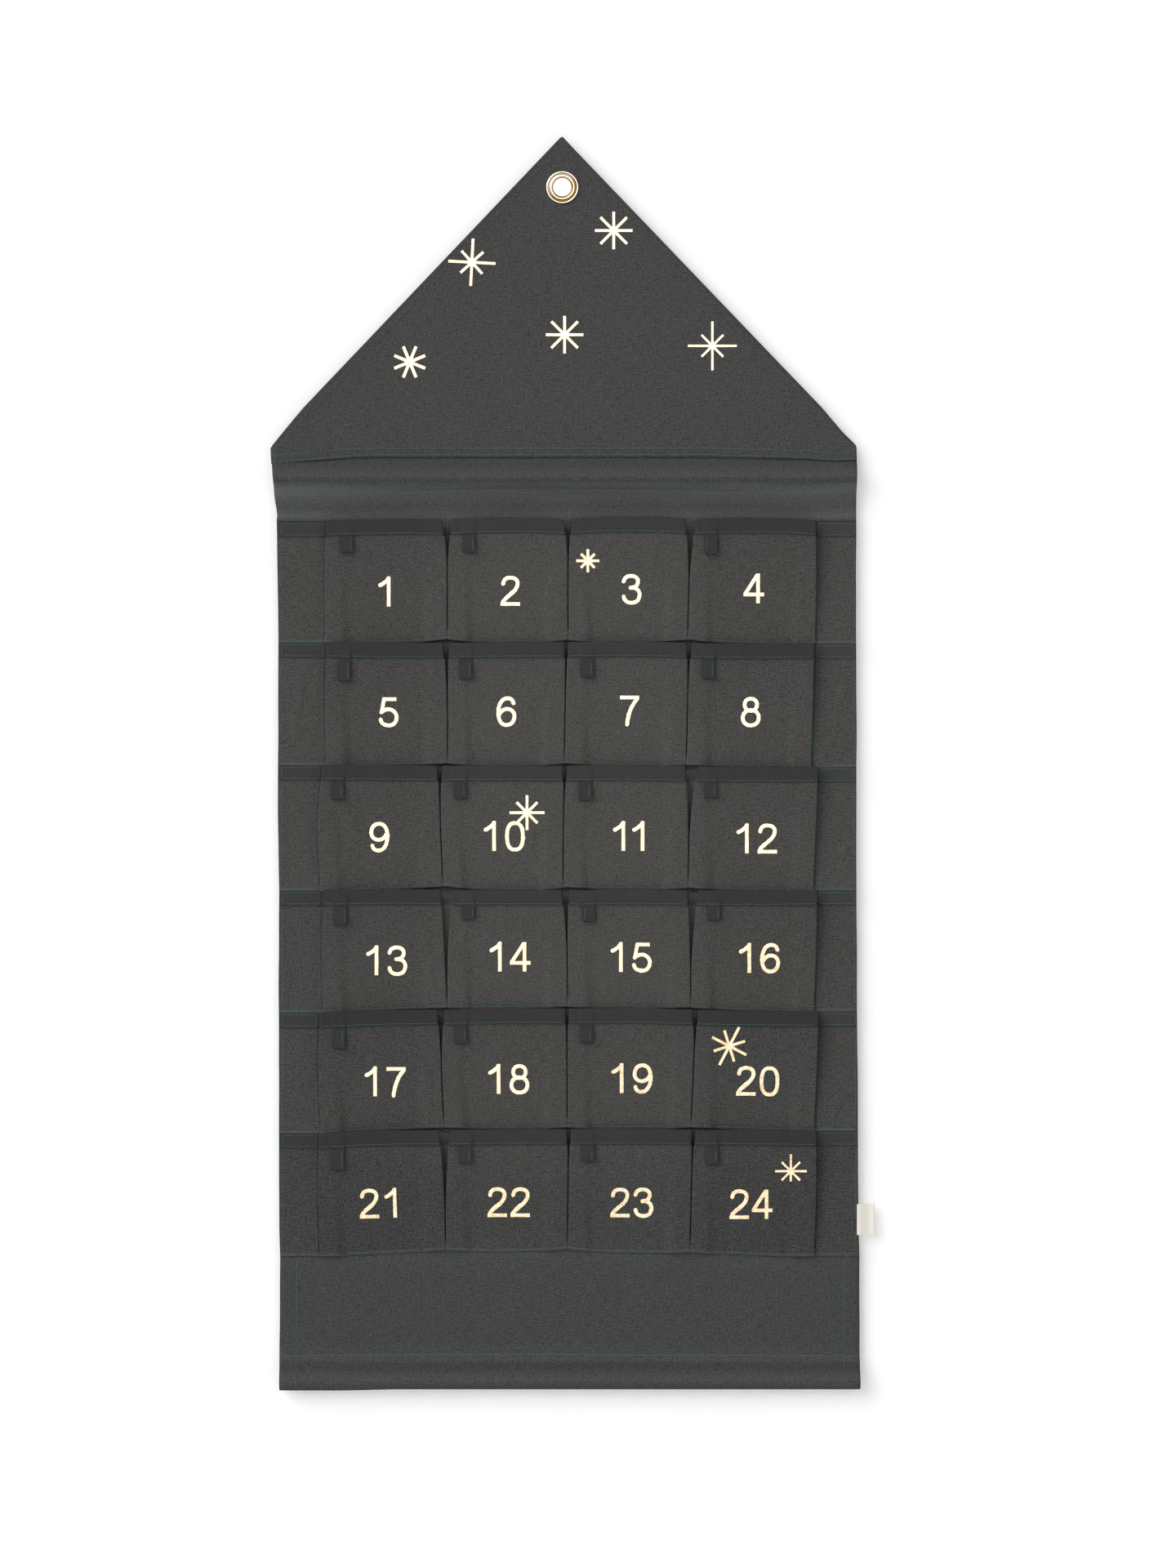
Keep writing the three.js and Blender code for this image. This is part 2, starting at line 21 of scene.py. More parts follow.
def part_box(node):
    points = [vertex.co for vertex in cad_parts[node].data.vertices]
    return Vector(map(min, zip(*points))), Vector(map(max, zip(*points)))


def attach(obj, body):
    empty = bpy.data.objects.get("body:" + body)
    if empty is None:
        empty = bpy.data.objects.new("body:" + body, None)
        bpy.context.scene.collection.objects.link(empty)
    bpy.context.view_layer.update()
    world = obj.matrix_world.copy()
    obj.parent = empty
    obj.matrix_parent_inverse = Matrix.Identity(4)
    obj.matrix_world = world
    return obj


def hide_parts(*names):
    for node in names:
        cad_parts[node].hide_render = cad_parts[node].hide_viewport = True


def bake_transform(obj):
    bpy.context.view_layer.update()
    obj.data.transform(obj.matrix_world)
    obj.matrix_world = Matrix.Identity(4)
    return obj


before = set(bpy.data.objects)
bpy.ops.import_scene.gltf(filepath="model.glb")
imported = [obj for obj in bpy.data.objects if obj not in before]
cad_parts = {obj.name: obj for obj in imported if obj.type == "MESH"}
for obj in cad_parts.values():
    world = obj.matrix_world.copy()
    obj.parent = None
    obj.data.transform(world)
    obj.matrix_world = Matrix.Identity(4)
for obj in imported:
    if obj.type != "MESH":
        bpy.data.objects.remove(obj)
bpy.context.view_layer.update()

MM = 0.001
FLAT_MAP = "flat"
# Name of the cloth's tone attribute: painted light and painted shade, with tone that differs from place to
# place.
TONE_AND_PAINTED_LIGHT = "rub"
CALENDAR = "calendar"
SHARP_FOLD = math.radians(50)
STAND = Matrix.Rotation(math.pi / 2, 4, "X")
FOLD_TURNS = [math.radians(turn) for turn in (0, 60, 90, 120, 180)]

Operand = Union["Value", float]
Point = tuple[float, float]
Trio = tuple[float, float, float]
Tone = Trio
Floats = Sequence[float]
Line = Sequence[Point]
Array = np.ndarray
Scallops = tuple[Floats, Floats]
Finish = bpy.types.Material
Piece = bpy.types.Object

log = logging.getLogger(CALENDAR)


class Slot(Enum):
    """Material slots of the record."""

    CANVAS = "canvas"
    POCKET = "pocket_canvas"
    TAPE = "tape"
    BRASS = "brass"
    WOOD = "wood"
    LABEL = "woven_label"


class Side(Enum):
    """Side of the cloth that a seam is sewn on, as the sign of its outward Y."""

    FRONT = -1
    BACK = 1


class Part(Enum):
    """Part of a pocket strip's sheet, from its lower edge up and down its hem."""

    TURNED = "turned in"
    FRONT = "front"
    UNDER = "under the hem"
    OVER = "over the mouth"
    HEM = "hem"


class Print(Enum):
    """How well the foil took on the cloth."""

    BRIGHT = 0.0
    WORN = 1.0


def ease(share: Union[float, Array]) -> Union[float, Array]:
    """Smooth step from 0 to 1 over a share from 0 to 1."""
    share = np.clip(share, 0.0, 1.0)
    return share * share * (3 - 2 * share)


def along(places: Array, knots: Line) -> Array:
    """Straight-line values at places, between knots given as (place, value) in any order."""
    ordered = sorted(knots)
    return np.interp(places, [k[0] for k in ordered], [k[1] for k in ordered])


def unevenness(x: Array, z: Array, size: float, seed: float, stretch: float = 1.0) -> Array:
    """Soft noise over the cloth.

    Args:
        x: Places across, in millimetres.
        z: Levels, in millimetres.
        size: Length of a wave across.
        seed: Picks one pattern out of many.
        stretch: How much longer a wave is upright than across.

    Returns:
        Values of about -1 to 1, in the shape of x.
    """
    pairs = zip(np.ravel(x) / size, np.ravel(z) / (size * stretch))
    return np.array([noise.noise((a, b, seed)) for a, b in pairs]).reshape(np.shape(x))


def evenly(start: float, end: float, steps: int) -> list[float]:
    """Numbers in even steps from one to another, with both."""
    return [start + (end - start) * step / steps for step in range(steps + 1)]


def arc(middle: Point, radius: float, turns: Floats) -> list[Point]:
    """Points round a middle, at angles in radians."""
    return [(middle[0] + radius * math.cos(t), middle[1] + radius * math.sin(t)) for t in turns]


def raised(across: Array, levels: Array, rise: float = 0.0) -> list[Point]:
    """A line of (x, z) places, moved up."""
    return [(x, z + rise) for x, z in zip(across, levels)]


def run_along(line: Array) -> Array:
    """Length of a line up to each of its points."""
    return np.concatenate([[0], np.cumsum(np.linalg.norm(np.diff(line, axis=0), axis=1))])


def turned_edge(insets: Floats, thick: float, lay: float) -> list[Point]:
    """Section of a hem, from its cut edge round the fold to the front.

    Args:
        insets: How far in from the fold the hem's flat points lie.
        thick: Thickness of the cloth.
        lay: How far the hem lies behind the front.

    Returns:
        Points as (distance in from the fold, distance behind the front).
    """
    fold = [(thick / 2 + lay / 2 * (1 - math.sin(t)), lay / 2 * (1 + math.cos(t))) for t in FOLD_TURNS]
    return [(inset, lay) for inset in insets] + fold


@dataclass(frozen=True)
class Crease:
    """A soft ridge in the cloth, from one place to another."""

    start: Point
    end: Point
    width: float
    height: float

    def rise(self, x: Array, z: Array) -> Array:
        """How far the ridge lifts the cloth at each place.

        Args:
            x: Places across.
            z: Levels.

        Returns:
            The lift, in the shape of x.
        """
        run, fall = self.end[0] - self.start[0], self.end[1] - self.start[1]
        share = ((x - self.start[0]) * run + (z - self.start[1]) * fall) / (run * run + fall * fall)
        near = np.clip(share, 0.0, 1.0)
        away = np.hypot(x - self.start[0] - near * run, z - self.start[1] - near * fall)
        return self.height * np.exp(-((away / self.width) ** 2)) * np.sin(math.pi * (0.1 + 0.8 * near))


def math_node(operation: str, reflected: bool = False) -> Callable[..., "Value"]:
    """Operator that adds a Math node.

    Args:
        operation: Blender's name for what the node does.
        reflected: Whether the value stands on the operator's right.

    Returns:
        The operator, as a method of a value.
    """
    def operator(value: "Value", other: Operand = 0.0) -> "Value":
        """Adds the node."""
        first, second = (other, value) if reflected else (value, other)
        return value.paint.node("ShaderNodeMath", {"operation": operation}, {0: first, 1: second})
    return operator


class Value:
    """Output of a shader node that Python's operators work on."""

    def __init__(self, paint: "Paint", socket: bpy.types.NodeSocket) -> None:
        """Keeps the socket and the material it belongs to."""
        self.paint = paint
        self.socket = socket

    __add__ = __radd__ = math_node("ADD")
    __sub__, __rsub__ = math_node("SUBTRACT"), math_node("SUBTRACT", True)
    __mul__ = __rmul__ = math_node("MULTIPLY")
    __truediv__, __rtruediv__ = math_node("DIVIDE"), math_node("DIVIDE", True)
    __abs__ = math_node("ABSOLUTE")
    sine = math_node("SINE")
    root = math_node("SQRT")

    def between(self, low: float, high: float) -> "Value":
        """Smooth step from 0 at low to 1 at high."""
        settings = {"interpolation_type": "SMOOTHSTEP"}
        return self.paint.node("ShaderNodeMapRange", settings, {0: self, 1: low, 2: high})


class Paint:
    """Material, or the scene's world, whose nodes are written as Python expressions."""

    def __init__(self, name: str, world: bool = False) -> None:
        """Starts it empty.

        Args:
            name: Name of the material or the world.
            world: Whether it is the world.
        """
        self.world = world
        self.block = (bpy.data.worlds if world else bpy.data.materials).new(name)
        self.block.use_nodes = True
        self.tree = self.block.node_tree
        self.tree.nodes.clear()

    def node(self, kind: str, settings: Optional[dict] = None, sockets: Optional[dict] = None,
             output: Union[int, str] = 0) -> Value:
        """Adds a node.

        Args:
            kind: Blender's name for the node's type.
            settings: Properties, set first.
            sockets: Numbers, colours or values for the node's inputs, by name or index.
            output: Which output to go on with.

        Returns:
            That output.
        """
        made = self.tree.nodes.new(kind)
        for key, setting in (settings or {}).items():
            setattr(made, key, setting)
        for key, entry in (sockets or {}).items():
            socket = made.inputs[key]
            if isinstance(entry, Value):
                self.tree.links.new(entry.socket, socket)
            else:
                socket.default_value = entry
        return Value(self, made.outputs[output])

    def flat(self) -> tuple[Value, Value, Value]:
        """The place in the flat cloth in metres, whole and as its u and v."""
        place = self.node("ShaderNodeUVMap", {"uv_map": FLAT_MAP})
        return place, *self.split(place)[:2]

    def where(self) -> Value:
        """The place on the object."""
        return self.node("ShaderNodeTexCoord", None, None, "Object")

    def seen(self) -> Value:
        """Tells rays from the camera, straight, by a mirror or through glass.

        Returns:
            1 for those rays, 0 for the others.
        """
        outputs = self.node("ShaderNodeLightPath").socket.node.outputs
        camera, glossy, through = (Value(self, outputs[f"Is {kind} Ray"])
                                   for kind in ("Camera", "Glossy", "Transmission"))
        return camera + glossy + through

    def split(self, vector: Value) -> tuple[Value, Value, Value]:
        """The three parts of a vector."""
        made = self.node("ShaderNodeSeparateXYZ", None, {0: vector}).socket.node
        return tuple(Value(self, made.outputs[i]) for i in range(3))

    def place(self, x: Operand, y: Operand, z: Operand = 0.0) -> Value:
        """A vector from three parts."""
        return self.node("ShaderNodeCombineXYZ", None, {0: x, 1: y, 2: z})

    def cloud(self, vector: Value, scale: float, detail: float = 2.0, rough: float = 0.5) -> Value:
        """Noise of about 0 to 1."""
        sockets = {"Vector": vector, "Scale": scale, "Detail": detail, "Roughness": rough}
        return self.node("ShaderNodeTexNoise", None, sockets)

    def blend(self, first: Union[Value, Tone], second: Union[Value, Tone], share: Operand) -> Value:
        """Colour between two colours."""
        colours = [c if isinstance(c, Value) else (*c, 1.0) for c in (first, second)]
        return self.node("ShaderNodeMix", {"data_type": "RGBA"}, {0: share, 6: colours[0], 7: colours[1]}, 2)

    def toned(self, colour: Union[Value, Tone], tone: Operand) -> Value:
        """Colour made lighter or darker."""
        return self.node("ShaderNodeVectorMath", {"operation": "SCALE"}, {0: colour, "Scale": tone})

    def bump(self, height: Value, distance: float, strength: float = 1.0) -> Value:
        """Normal for a relief whose height of 1 stands that many metres high."""
        sockets = {"Height": height, "Distance": distance, "Strength": strength}
        return self.node("ShaderNodeBump", None, sockets)

    def shade(self, **sockets: Union[Value, float, tuple]) -> Finish:
        """Ends the material with a Principled shader.

        Args:
            **sockets: Its inputs, with underscores for spaces.

        Returns:
            The material.
        """
        named = {key.replace("_", " "): entry for key, entry in sockets.items()}
        return self.end(self.node("ShaderNodeBsdfPrincipled", None, named))

    def end(self, shader: Value) -> Union[Finish, bpy.types.World]:
        """Joins a shader to the output.

        Args:
            shader: The shader.

        Returns:
            The finished material or world.
        """
        made = self.tree.nodes.new("ShaderNodeOutputWorld" if self.world else "ShaderNodeOutputMaterial")
        self.tree.links.new(shader.socket, made.inputs["Surface"])
        return self.block


@dataclass(frozen=True)
class Canvas:
    """Plain-woven cotton with slubs, dyed a little unevenly, made paler or darker by the tone attribute,
    which holds painted light and shade.
    """

    name: str
    dye: Tone
    cool: Tone
    thread: float = 0.00056
    slub: float = 0.82
    streak: float = 2.1
    fibre: float = 0.9
    patch: float = 0.12
    crown: float = 0.10
    cell: float = 0.05
    relief: float = 0.00007
    # How strongly the tone attribute, with its painted light and shade, lightens or darkens the cloth.
    rub: float = 0.22
    roughness: float = 0.95
    level_slubs: Point = (130.0, 1300.0)
    upright_slubs: Point = (1500.0, 110.0)
    streaks: Point = (520.0, 900.0)
    drifts: float = 420.0
    fibres: float = 1100.0
    patches: float = 24.0

    def make(self) -> Finish:
        """Weaves the material on the sheet's flat map, from waves counted to the metre.

        Returns:
            The material.
        """
        paint = Paint(self.name)
        flat, u, v = paint.flat()

        def grain(waves: Point, seed: float, detail: float = 2.0, rough: float = 0.6) -> Value:
            """Noise with its own count of waves across and up."""
            return paint.cloud(paint.place(u * waves[0], v * waves[1], seed), 1.0, detail, rough)

        drift = (paint.cloud(flat, self.drifts, 1.0) - 0.5) * self.thread
        warp, weft = u + drift, v + drift
        turn = math.pi / self.thread
        cell = (warp * turn).sine() * (weft * turn).sine()
        crown = abs(cell)
        level_slub, upright_slub = grain(self.level_slubs, 0.0), grain(self.upright_slubs, 5.0)
        streak = grain(self.streaks, 9.0, 3.0, 0.7) - 0.5
        fibre = paint.cloud(flat, self.fibres, 2.0, 0.65)
        patch = paint.cloud(flat, self.patches, 3.0, 0.55)
        # The tone attribute paints light and shade: paler where it is positive, darker and cooler where it is
        # negative.
        tone_and_painted_light_value = paint.node("ShaderNodeAttribute", {"attribute_name": TONE_AND_PAINTED_LIGHT}, None, "Fac")
        slubs = (level_slub * 1.2 + upright_slub * 0.8 - 1.0) * self.slub + streak * self.streak
        tone = 1.0 + slubs + (fibre - 0.5) * self.fibre + (patch - 0.5) * self.patch + tone_and_painted_light_value * self.rub
        tone = tone + (crown - 0.4) * self.crown + cell * self.cell
        coolness = patch.between(0.35, 0.68) * 0.4 + (0.0 - tone_and_painted_light_value).between(0.1, 0.8) * 0.6
        colour = paint.toned(paint.blend(self.dye, self.cool, coolness), tone)
        height = crown * 0.7 + slubs + fibre * 0.6
        return paint.shade(Base_Color=colour, Roughness=self.roughness, Specular_IOR_Level=0.12,
                           Normal=paint.bump(height, self.relief))


@dataclass(frozen=True)
class Tape:
    """Narrow twill tape with slanting ribs."""

    name: str
    dye: Tone
    rib: float = 0.0009

    def make(self) -> Finish:
        """Weaves the ribs on the flat map.

        Returns:
            The material.
        """
        paint = Paint(self.name)
        flat, u, v = paint.flat()
        rib = ((u + v) * (2 * math.pi / self.rib)).sine()
        fibre = paint.cloud(flat, 1600.0, 2.0, 0.6)
        tone = 1.0 + rib * 0.07 + (fibre - 0.5) * 0.35
        return paint.shade(Base_Color=paint.toned(self.dye, tone), Roughness=0.88, Specular_IOR_Level=0.2,
                           Normal=paint.bump(rib * 0.5 + fibre, 0.00006))


@dataclass(frozen=True)
class Twist:
    """Sewing thread of two plies."""

    name: str
    dye: Tone

    def make(self) -> Finish:
        """Lightens the thread in small patches.

        Returns:
            The material.
        """
        paint = Paint(self.name)
        where = paint.where()
        fleck = paint.cloud(where, 900.0, 2.0, 0.7)
        tone = 0.72 + fleck * 0.55
        return paint.shade(Base_Color=paint.toned(self.dye, tone), Roughness=0.75, Specular_IOR_Level=0.3,
                           Normal=paint.bump(fleck, 0.00005))


@dataclass(frozen=True)
class FoilPrint:
    """Metal foil pressed on the cloth, with the weave showing through."""

    name: str
    face: Tone
    deep: Tone
    wear: Print
    rim: bool = False

    def make(self) -> Finish:
        """Mixes pale foil and the darker gold where it took badly.

        Returns:
            The material.
        """
        paint = Paint(self.name)
        where = paint.where()
        patch = paint.cloud(where, 260.0, 4.0, 0.75)
        grain = paint.cloud(where, 1500.0, 2.0, 0.6)
        low = 0.45 if self.wear is Print.WORN else 0.51
        worn = (patch * 0.55 + grain * 0.45).between(low, low + 0.14)
        share = 1.0 - (1.0 - worn) * 0.35 if self.rim else worn * (0.8 if self.wear is Print.WORN else 0.55)
        colour = paint.toned(paint.blend(self.face, self.deep, share), 0.92 + grain * 0.16)
        return paint.shade(Base_Color=colour, Metallic=1.0, Roughness=0.34 + worn * 0.12,
                           Normal=paint.bump(grain + patch * 0.6, 0.00005, 0.6))


@dataclass(frozen=True)
class Brass:
    """Polished brass with fine turning marks and a little tarnish."""

    name: str
    face: Tone
    tarnish: Tone
    groove_start: Point = (0.0094, 0.0097)
    groove_end: Point = (0.0108, 0.0111)
    throat: Point = (0.0084, 0.0088)

    def make(self) -> Finish:
        """Draws the marks round the eyelet's axis, the tarnish that stays in its grooves, and painted shade
        that gives the lower right side more of the tarnish colour.

        Returns:
            The material.
        """
        paint = Paint(self.name)
        where = paint.where()
        x, _, z = paint.split(where)
        radius = (x * x + z * z).root()
        # Painted shade: the lower right side, away from the light, takes more of the tarnish colour.
        painted_shade_side = (x * 0.6 - z * 0.8) / radius
        marks = paint.cloud(paint.place(radius * 9000.0, 0.0), 1.0, 2.0, 0.6)
        stain = paint.cloud(where, 300.0, 3.0, 0.6).between(0.48, 0.78)
        groove = radius.between(*self.groove_start) * (1.0 - radius.between(*self.groove_end))
        inner = 1.0 - radius.between(*self.throat)
        side = 0.92 + 0.35 * (painted_shade_side.between(-0.5, 0.5) - 0.5)
        share = stain * 0.12 + (groove + inner * 0.9) * side
        colour = paint.blend(self.face, self.tarnish, share)
        return paint.shade(Base_Color=colour, Metallic=1.0, Roughness=0.14 + stain * 0.12 + marks * 0.05,
                           Normal=paint.bump(marks, 0.000008))


@dataclass(frozen=True)
class Wood:
    """Plain turned wood with its grain along X."""

    name: str
    light: Tone
    dark: Tone

    def make(self) -> Finish:
        """Draws rings stretched along the stick.

        Returns:
            The material.
        """
        paint = Paint(self.name)
        where = paint.where()
        x, y, z = paint.split(where)
        ring = paint.cloud(paint.place(x * 12.0, y * 700.0, z * 700.0), 1.0, 3.0, 0.6)
        pore = paint.cloud(paint.place(x * 160.0, y * 3200.0, z * 3200.0), 1.0, 2.0, 0.7)
        colour = paint.blend(self.light, self.dark, ring.between(0.35, 0.72) * 0.8 + (pore - 0.5) * 0.3)
        return paint.shade(Base_Color=colour, Roughness=0.55 + pore * 0.15, Normal=paint.bump(pore, 0.00006))


@dataclass(frozen=True)
class Woven:
    """Bleached label ribbon in a fine satin weave."""

    name: str
    yarn: Tone
    pitch: float = 0.00032

    def make(self) -> Finish:
        """Weaves the ribbon on its flat map.

        Returns:
            The material.
        """
        paint = Paint(self.name)
        flat, u, v = paint.flat()
        warp = ((u + v * 0.25) * (math.pi / self.pitch)).sine()
        weft = (v * (math.pi / self.pitch)).sine()
        cell = abs(warp * weft)
        fibre = paint.cloud(flat, 1500.0, 2.0, 0.6)
        tone = 0.93 + cell * 0.07 + (fibre - 0.5) * 0.08
        return paint.shade(Base_Color=paint.toned(self.yarn, tone), Roughness=0.8, Specular_IOR_Level=0.25,
                           Normal=paint.bump(cell + fibre, 0.00003))


def to_object(shape: bmesh.types.BMesh, name: str, finishes: Sequence[Finish]) -> Piece:
    """Puts a finished shape into the scene.

    Args:
        shape: The shape, in metres. It is freed.
        name: Name of the piece.
        finishes: Its materials, in the order of the faces' indices.

    Returns:
        The new piece.
    """
    mesh = bpy.data.meshes.new(name)
    shape.to_mesh(mesh)
    shape.free()
    for finish in finishes:
        mesh.materials.append(finish)
    piece = bpy.data.objects.new(name, mesh)
    bpy.context.scene.collection.objects.link(piece)
    return piece


def settle(piece: Piece) -> Piece:
    """Makes a piece's modifiers part of its mesh, and keeps its folds smooth and its cut edges sharp.

    Args:
        piece: The piece.

    Returns:
        The same piece.
    """
    graph = bpy.context.evaluated_depsgraph_get()
    final = bpy.data.meshes.new_from_object(piece.evaluated_get(graph), preserve_all_data_layers=True,
                                            depsgraph=graph)
    piece.modifiers.clear()
    old, piece.data = piece.data, final
    bpy.data.meshes.remove(old)
    final.name = piece.name
    final.shade_smooth()
    final.set_sharp_from_angle(angle=SHARP_FOLD)
    return piece


def dress(piece: Piece, node: str, body: Optional[str] = CALENDAR) -> Piece:
    """Hides the node that a piece replaces and, where a body is given, puts the piece on it.

    Args:
        piece: The piece.
        node: The node that it replaces.
        body: The body that it rides on, or None for no body.

    Returns:
        The piece.
    """
    if body:
        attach(piece, body)
    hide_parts(node)
    return piece


def thicken(piece: Piece, thick: float, offset: float = 0.0, rim: int = 0) -> Piece:
    """Gives an open sheet its thickness in millimetres and settles it.

    Args:
        piece: An open sheet.
        thick: Its thickness.
        offset: Side that it grows to, from -1 to 1.
        rim: Which of its materials the rim takes.

    Returns:
        The closed piece.
    """
    walls = piece.modifiers.new("Thickness", "SOLIDIFY")
    walls.thickness, walls.offset, walls.material_offset_rim = thick * MM, offset, rim
    return settle(piece)


@dataclass
class Sheet:
    """A sheet of cloth, as rows and columns of points on its middle face.

    Attributes:
        points: Rows by columns by three, in millimetres.
        flat: Rows by columns by two: where each point lay in the flat cloth.
        thick: Thickness of the cloth.
        keep: Which faces there are, rows less one by columns less one.
        turned: Which faces show the cloth's other side.
        worn: Rows by columns, how much paler the cloth is made, or darker where it is negative: painted light
            and painted shade, with tone that differs from place to place.
    """

    points: Array
    flat: Array
    thick: float
    keep: Optional[Array] = None
    turned: Optional[Array] = None
    worn: Optional[Array] = None

    def make(self, name: str, finishes: Sequence[Finish]) -> Piece:
        """Shapes the sheet from a flat grid.

        Args:
            name: Name of the piece.
            finishes: Material of the right side, and of the other side where it shows.

        Returns:
            The closed cloth.
        """
        rows, columns = self.points.shape[:2]
        shape = bmesh.new()
        bmesh.ops.create_grid(shape, x_segments=columns - 1, y_segments=rows - 1, size=0.5)
        shape.verts.index_update()
        flat_map = shape.loops.layers.uv.new(FLAT_MAP)
        rub = shape.verts.layers.float.new(TONE_AND_PAINTED_LIGHT)
        spots = []
        for corner in shape.verts:
            spot = (round((corner.co.y + 0.5) * (rows - 1)), round((corner.co.x + 0.5) * (columns - 1)))
            spots.append(spot)
            corner.co = Vector(self.points[spot]) * MM
            corner[rub] = float(self.worn[spot]) if self.worn is not None else 0.0
        unwanted = []
        for face in shape.faces:
            corners = [spots[loop.vert.index] for loop in face.loops]
            cell = (min(c[0] for c in corners), min(c[1] for c in corners))
            if self.keep is not None and not self.keep[cell]:
                unwanted.append(face)
                continue
            if self.turned is not None:
                face.material_index = int(self.turned[cell])
            for loop, spot in zip(face.loops, corners):
                loop[flat_map].uv = Vector(self.flat[spot]) * MM
        bmesh.ops.delete(shape, geom=unwanted, context="FACES")
        return thicken(to_object(shape, name, finishes), self.thick)


def tree_of(*pieces: Piece) -> BVHTree:
    """Search tree over the faces of one or more pieces.

    Args:
        *pieces: The pieces.

    Returns:
        The tree.
    """
    joined = bmesh.new()
    for piece in pieces:
        joined.from_mesh(piece.data)
    tree = BVHTree.FromBMesh(joined)
    joined.free()
    return tree


def touch(cloth: BVHTree, x: float, z: float, side: Side) -> Optional[Vector]:
    """Where a square look at the cloth, from one side, meets it.

    Args:
        cloth: Search tree of the cloth.
        x: Place across, in millimetres.
        z: Level, in millimetres.
        side: Side that the look comes from.

    Returns:
        The place in metres, or None beside the cloth.
    """
    start = Vector((x * MM, side.value * 0.08, z * MM))
    return cloth.ray_cast(start, Vector((0.0, -side.value, 0.0)))[0]


@dataclass(frozen=True)
class SeamRow:
    """One row of stitches along a line of (x, z) places.

    Attributes:
        line: Places that the row runs through.
        side: Side of the cloth it is seen on.
        deepest: Only cloth behind this Y takes a stitch.
        pitch: From one stitch to the next.
    """

    line: Line
    side: Side = Side.FRONT
    deepest: Optional[float] = None
    pitch: float = 2.0


@dataclass(frozen=True)
class Thread:
    """Sewing thread, as short rounded stitches laid on the cloth."""

    finish: Finish
    seen: float = 1.45
    thick: float = 0.42
    sunk: float = 0.05
    wander: float = 0.12
    most_step: float = 0.5

    def sew(self, name: str, rows: Sequence[SeamRow], cloth: BVHTree) -> Piece:
        """Lays rows of stitches.

        Args:
            name: Name of the piece.
            rows: The rows.
            cloth: Search tree of the cloth that carries them.

        Returns:
            All the stitches as one piece.
        """
        whole = bmesh.new()
        for count, row in enumerate(rows):
            places = [Vector((x, z)) for x, z in row.line]
            lengths = [(b - a).length for a, b in zip(places, places[1:])]
            stitches = int(sum(lengths) / row.pitch)
            shape = bmesh.new()
            for stitch in range(stitches):
                self._stitch(shape, cloth, row, places, lengths, (stitch + 0.5) * row.pitch, count)
            sewn = bpy.data.meshes.new("row")
            shape.to_mesh(sewn)
            shape.free()
            whole.from_mesh(sewn)
            bpy.data.meshes.remove(sewn)
        return to_object(whole, name, [self.finish])

    def _stitch(self, shape: bmesh.types.BMesh, cloth: BVHTree, row: SeamRow, places: list, lengths: list,
                reach: float, count: int) -> None:
        """Adds the stitch whose middle is that far along its row, if the cloth there takes it.

        Args:
            shape: Shape that takes it.
            cloth: Search tree of the cloth.
            row: The row.
            places: Places that the row runs through.
            lengths: Lengths between them.
            reach: How far along the row it is.
            count: Number of the row, which picks its noise.
        """
        leg = 0
        while leg < len(lengths) - 1 and reach > lengths[leg]:
            reach -= lengths[leg]
            leg += 1
        way = (places[leg + 1] - places[leg]).normalized()
        shift = noise.noise((reach * 0.21 + leg, count * 3.7, 1.5)) * self.wander
        middle = places[leg] + way * reach + Vector((-way.y, way.x)) * shift
        long = self.seen * (1 + 0.5 * noise.noise((reach * 0.9, count * 1.3, 8.1)))
        ends = [touch(cloth, *(middle + way * turn * long / 2), row.side) for turn in (-1, 1)]
        if None in ends or abs(ends[0].y - ends[1].y) > self.most_step * MM:
            return
        if row.deepest is not None and min(end.y for end in ends) < row.deepest * MM:
            return
        run = ends[1] - ends[0]
        out = Vector((0.0, float(row.side.value), 0.0))
        across = run.cross(out).normalized()
        up = across.cross(run).normalized()
        if up.dot(out) < 0:
            up.negate()
        thick = self.thick * MM / 2
        centre = (ends[0] + ends[1]) / 2 + up * (thick - self.sunk * MM)
        columns = (run * 0.5, across * thick, up * thick)
        matrix = Matrix.Translation(centre) @ Matrix([list(r) for r in zip(*columns)]).to_4x4()
        bmesh.ops.create_icosphere(shape, subdivisions=1, radius=1.0, matrix=matrix)


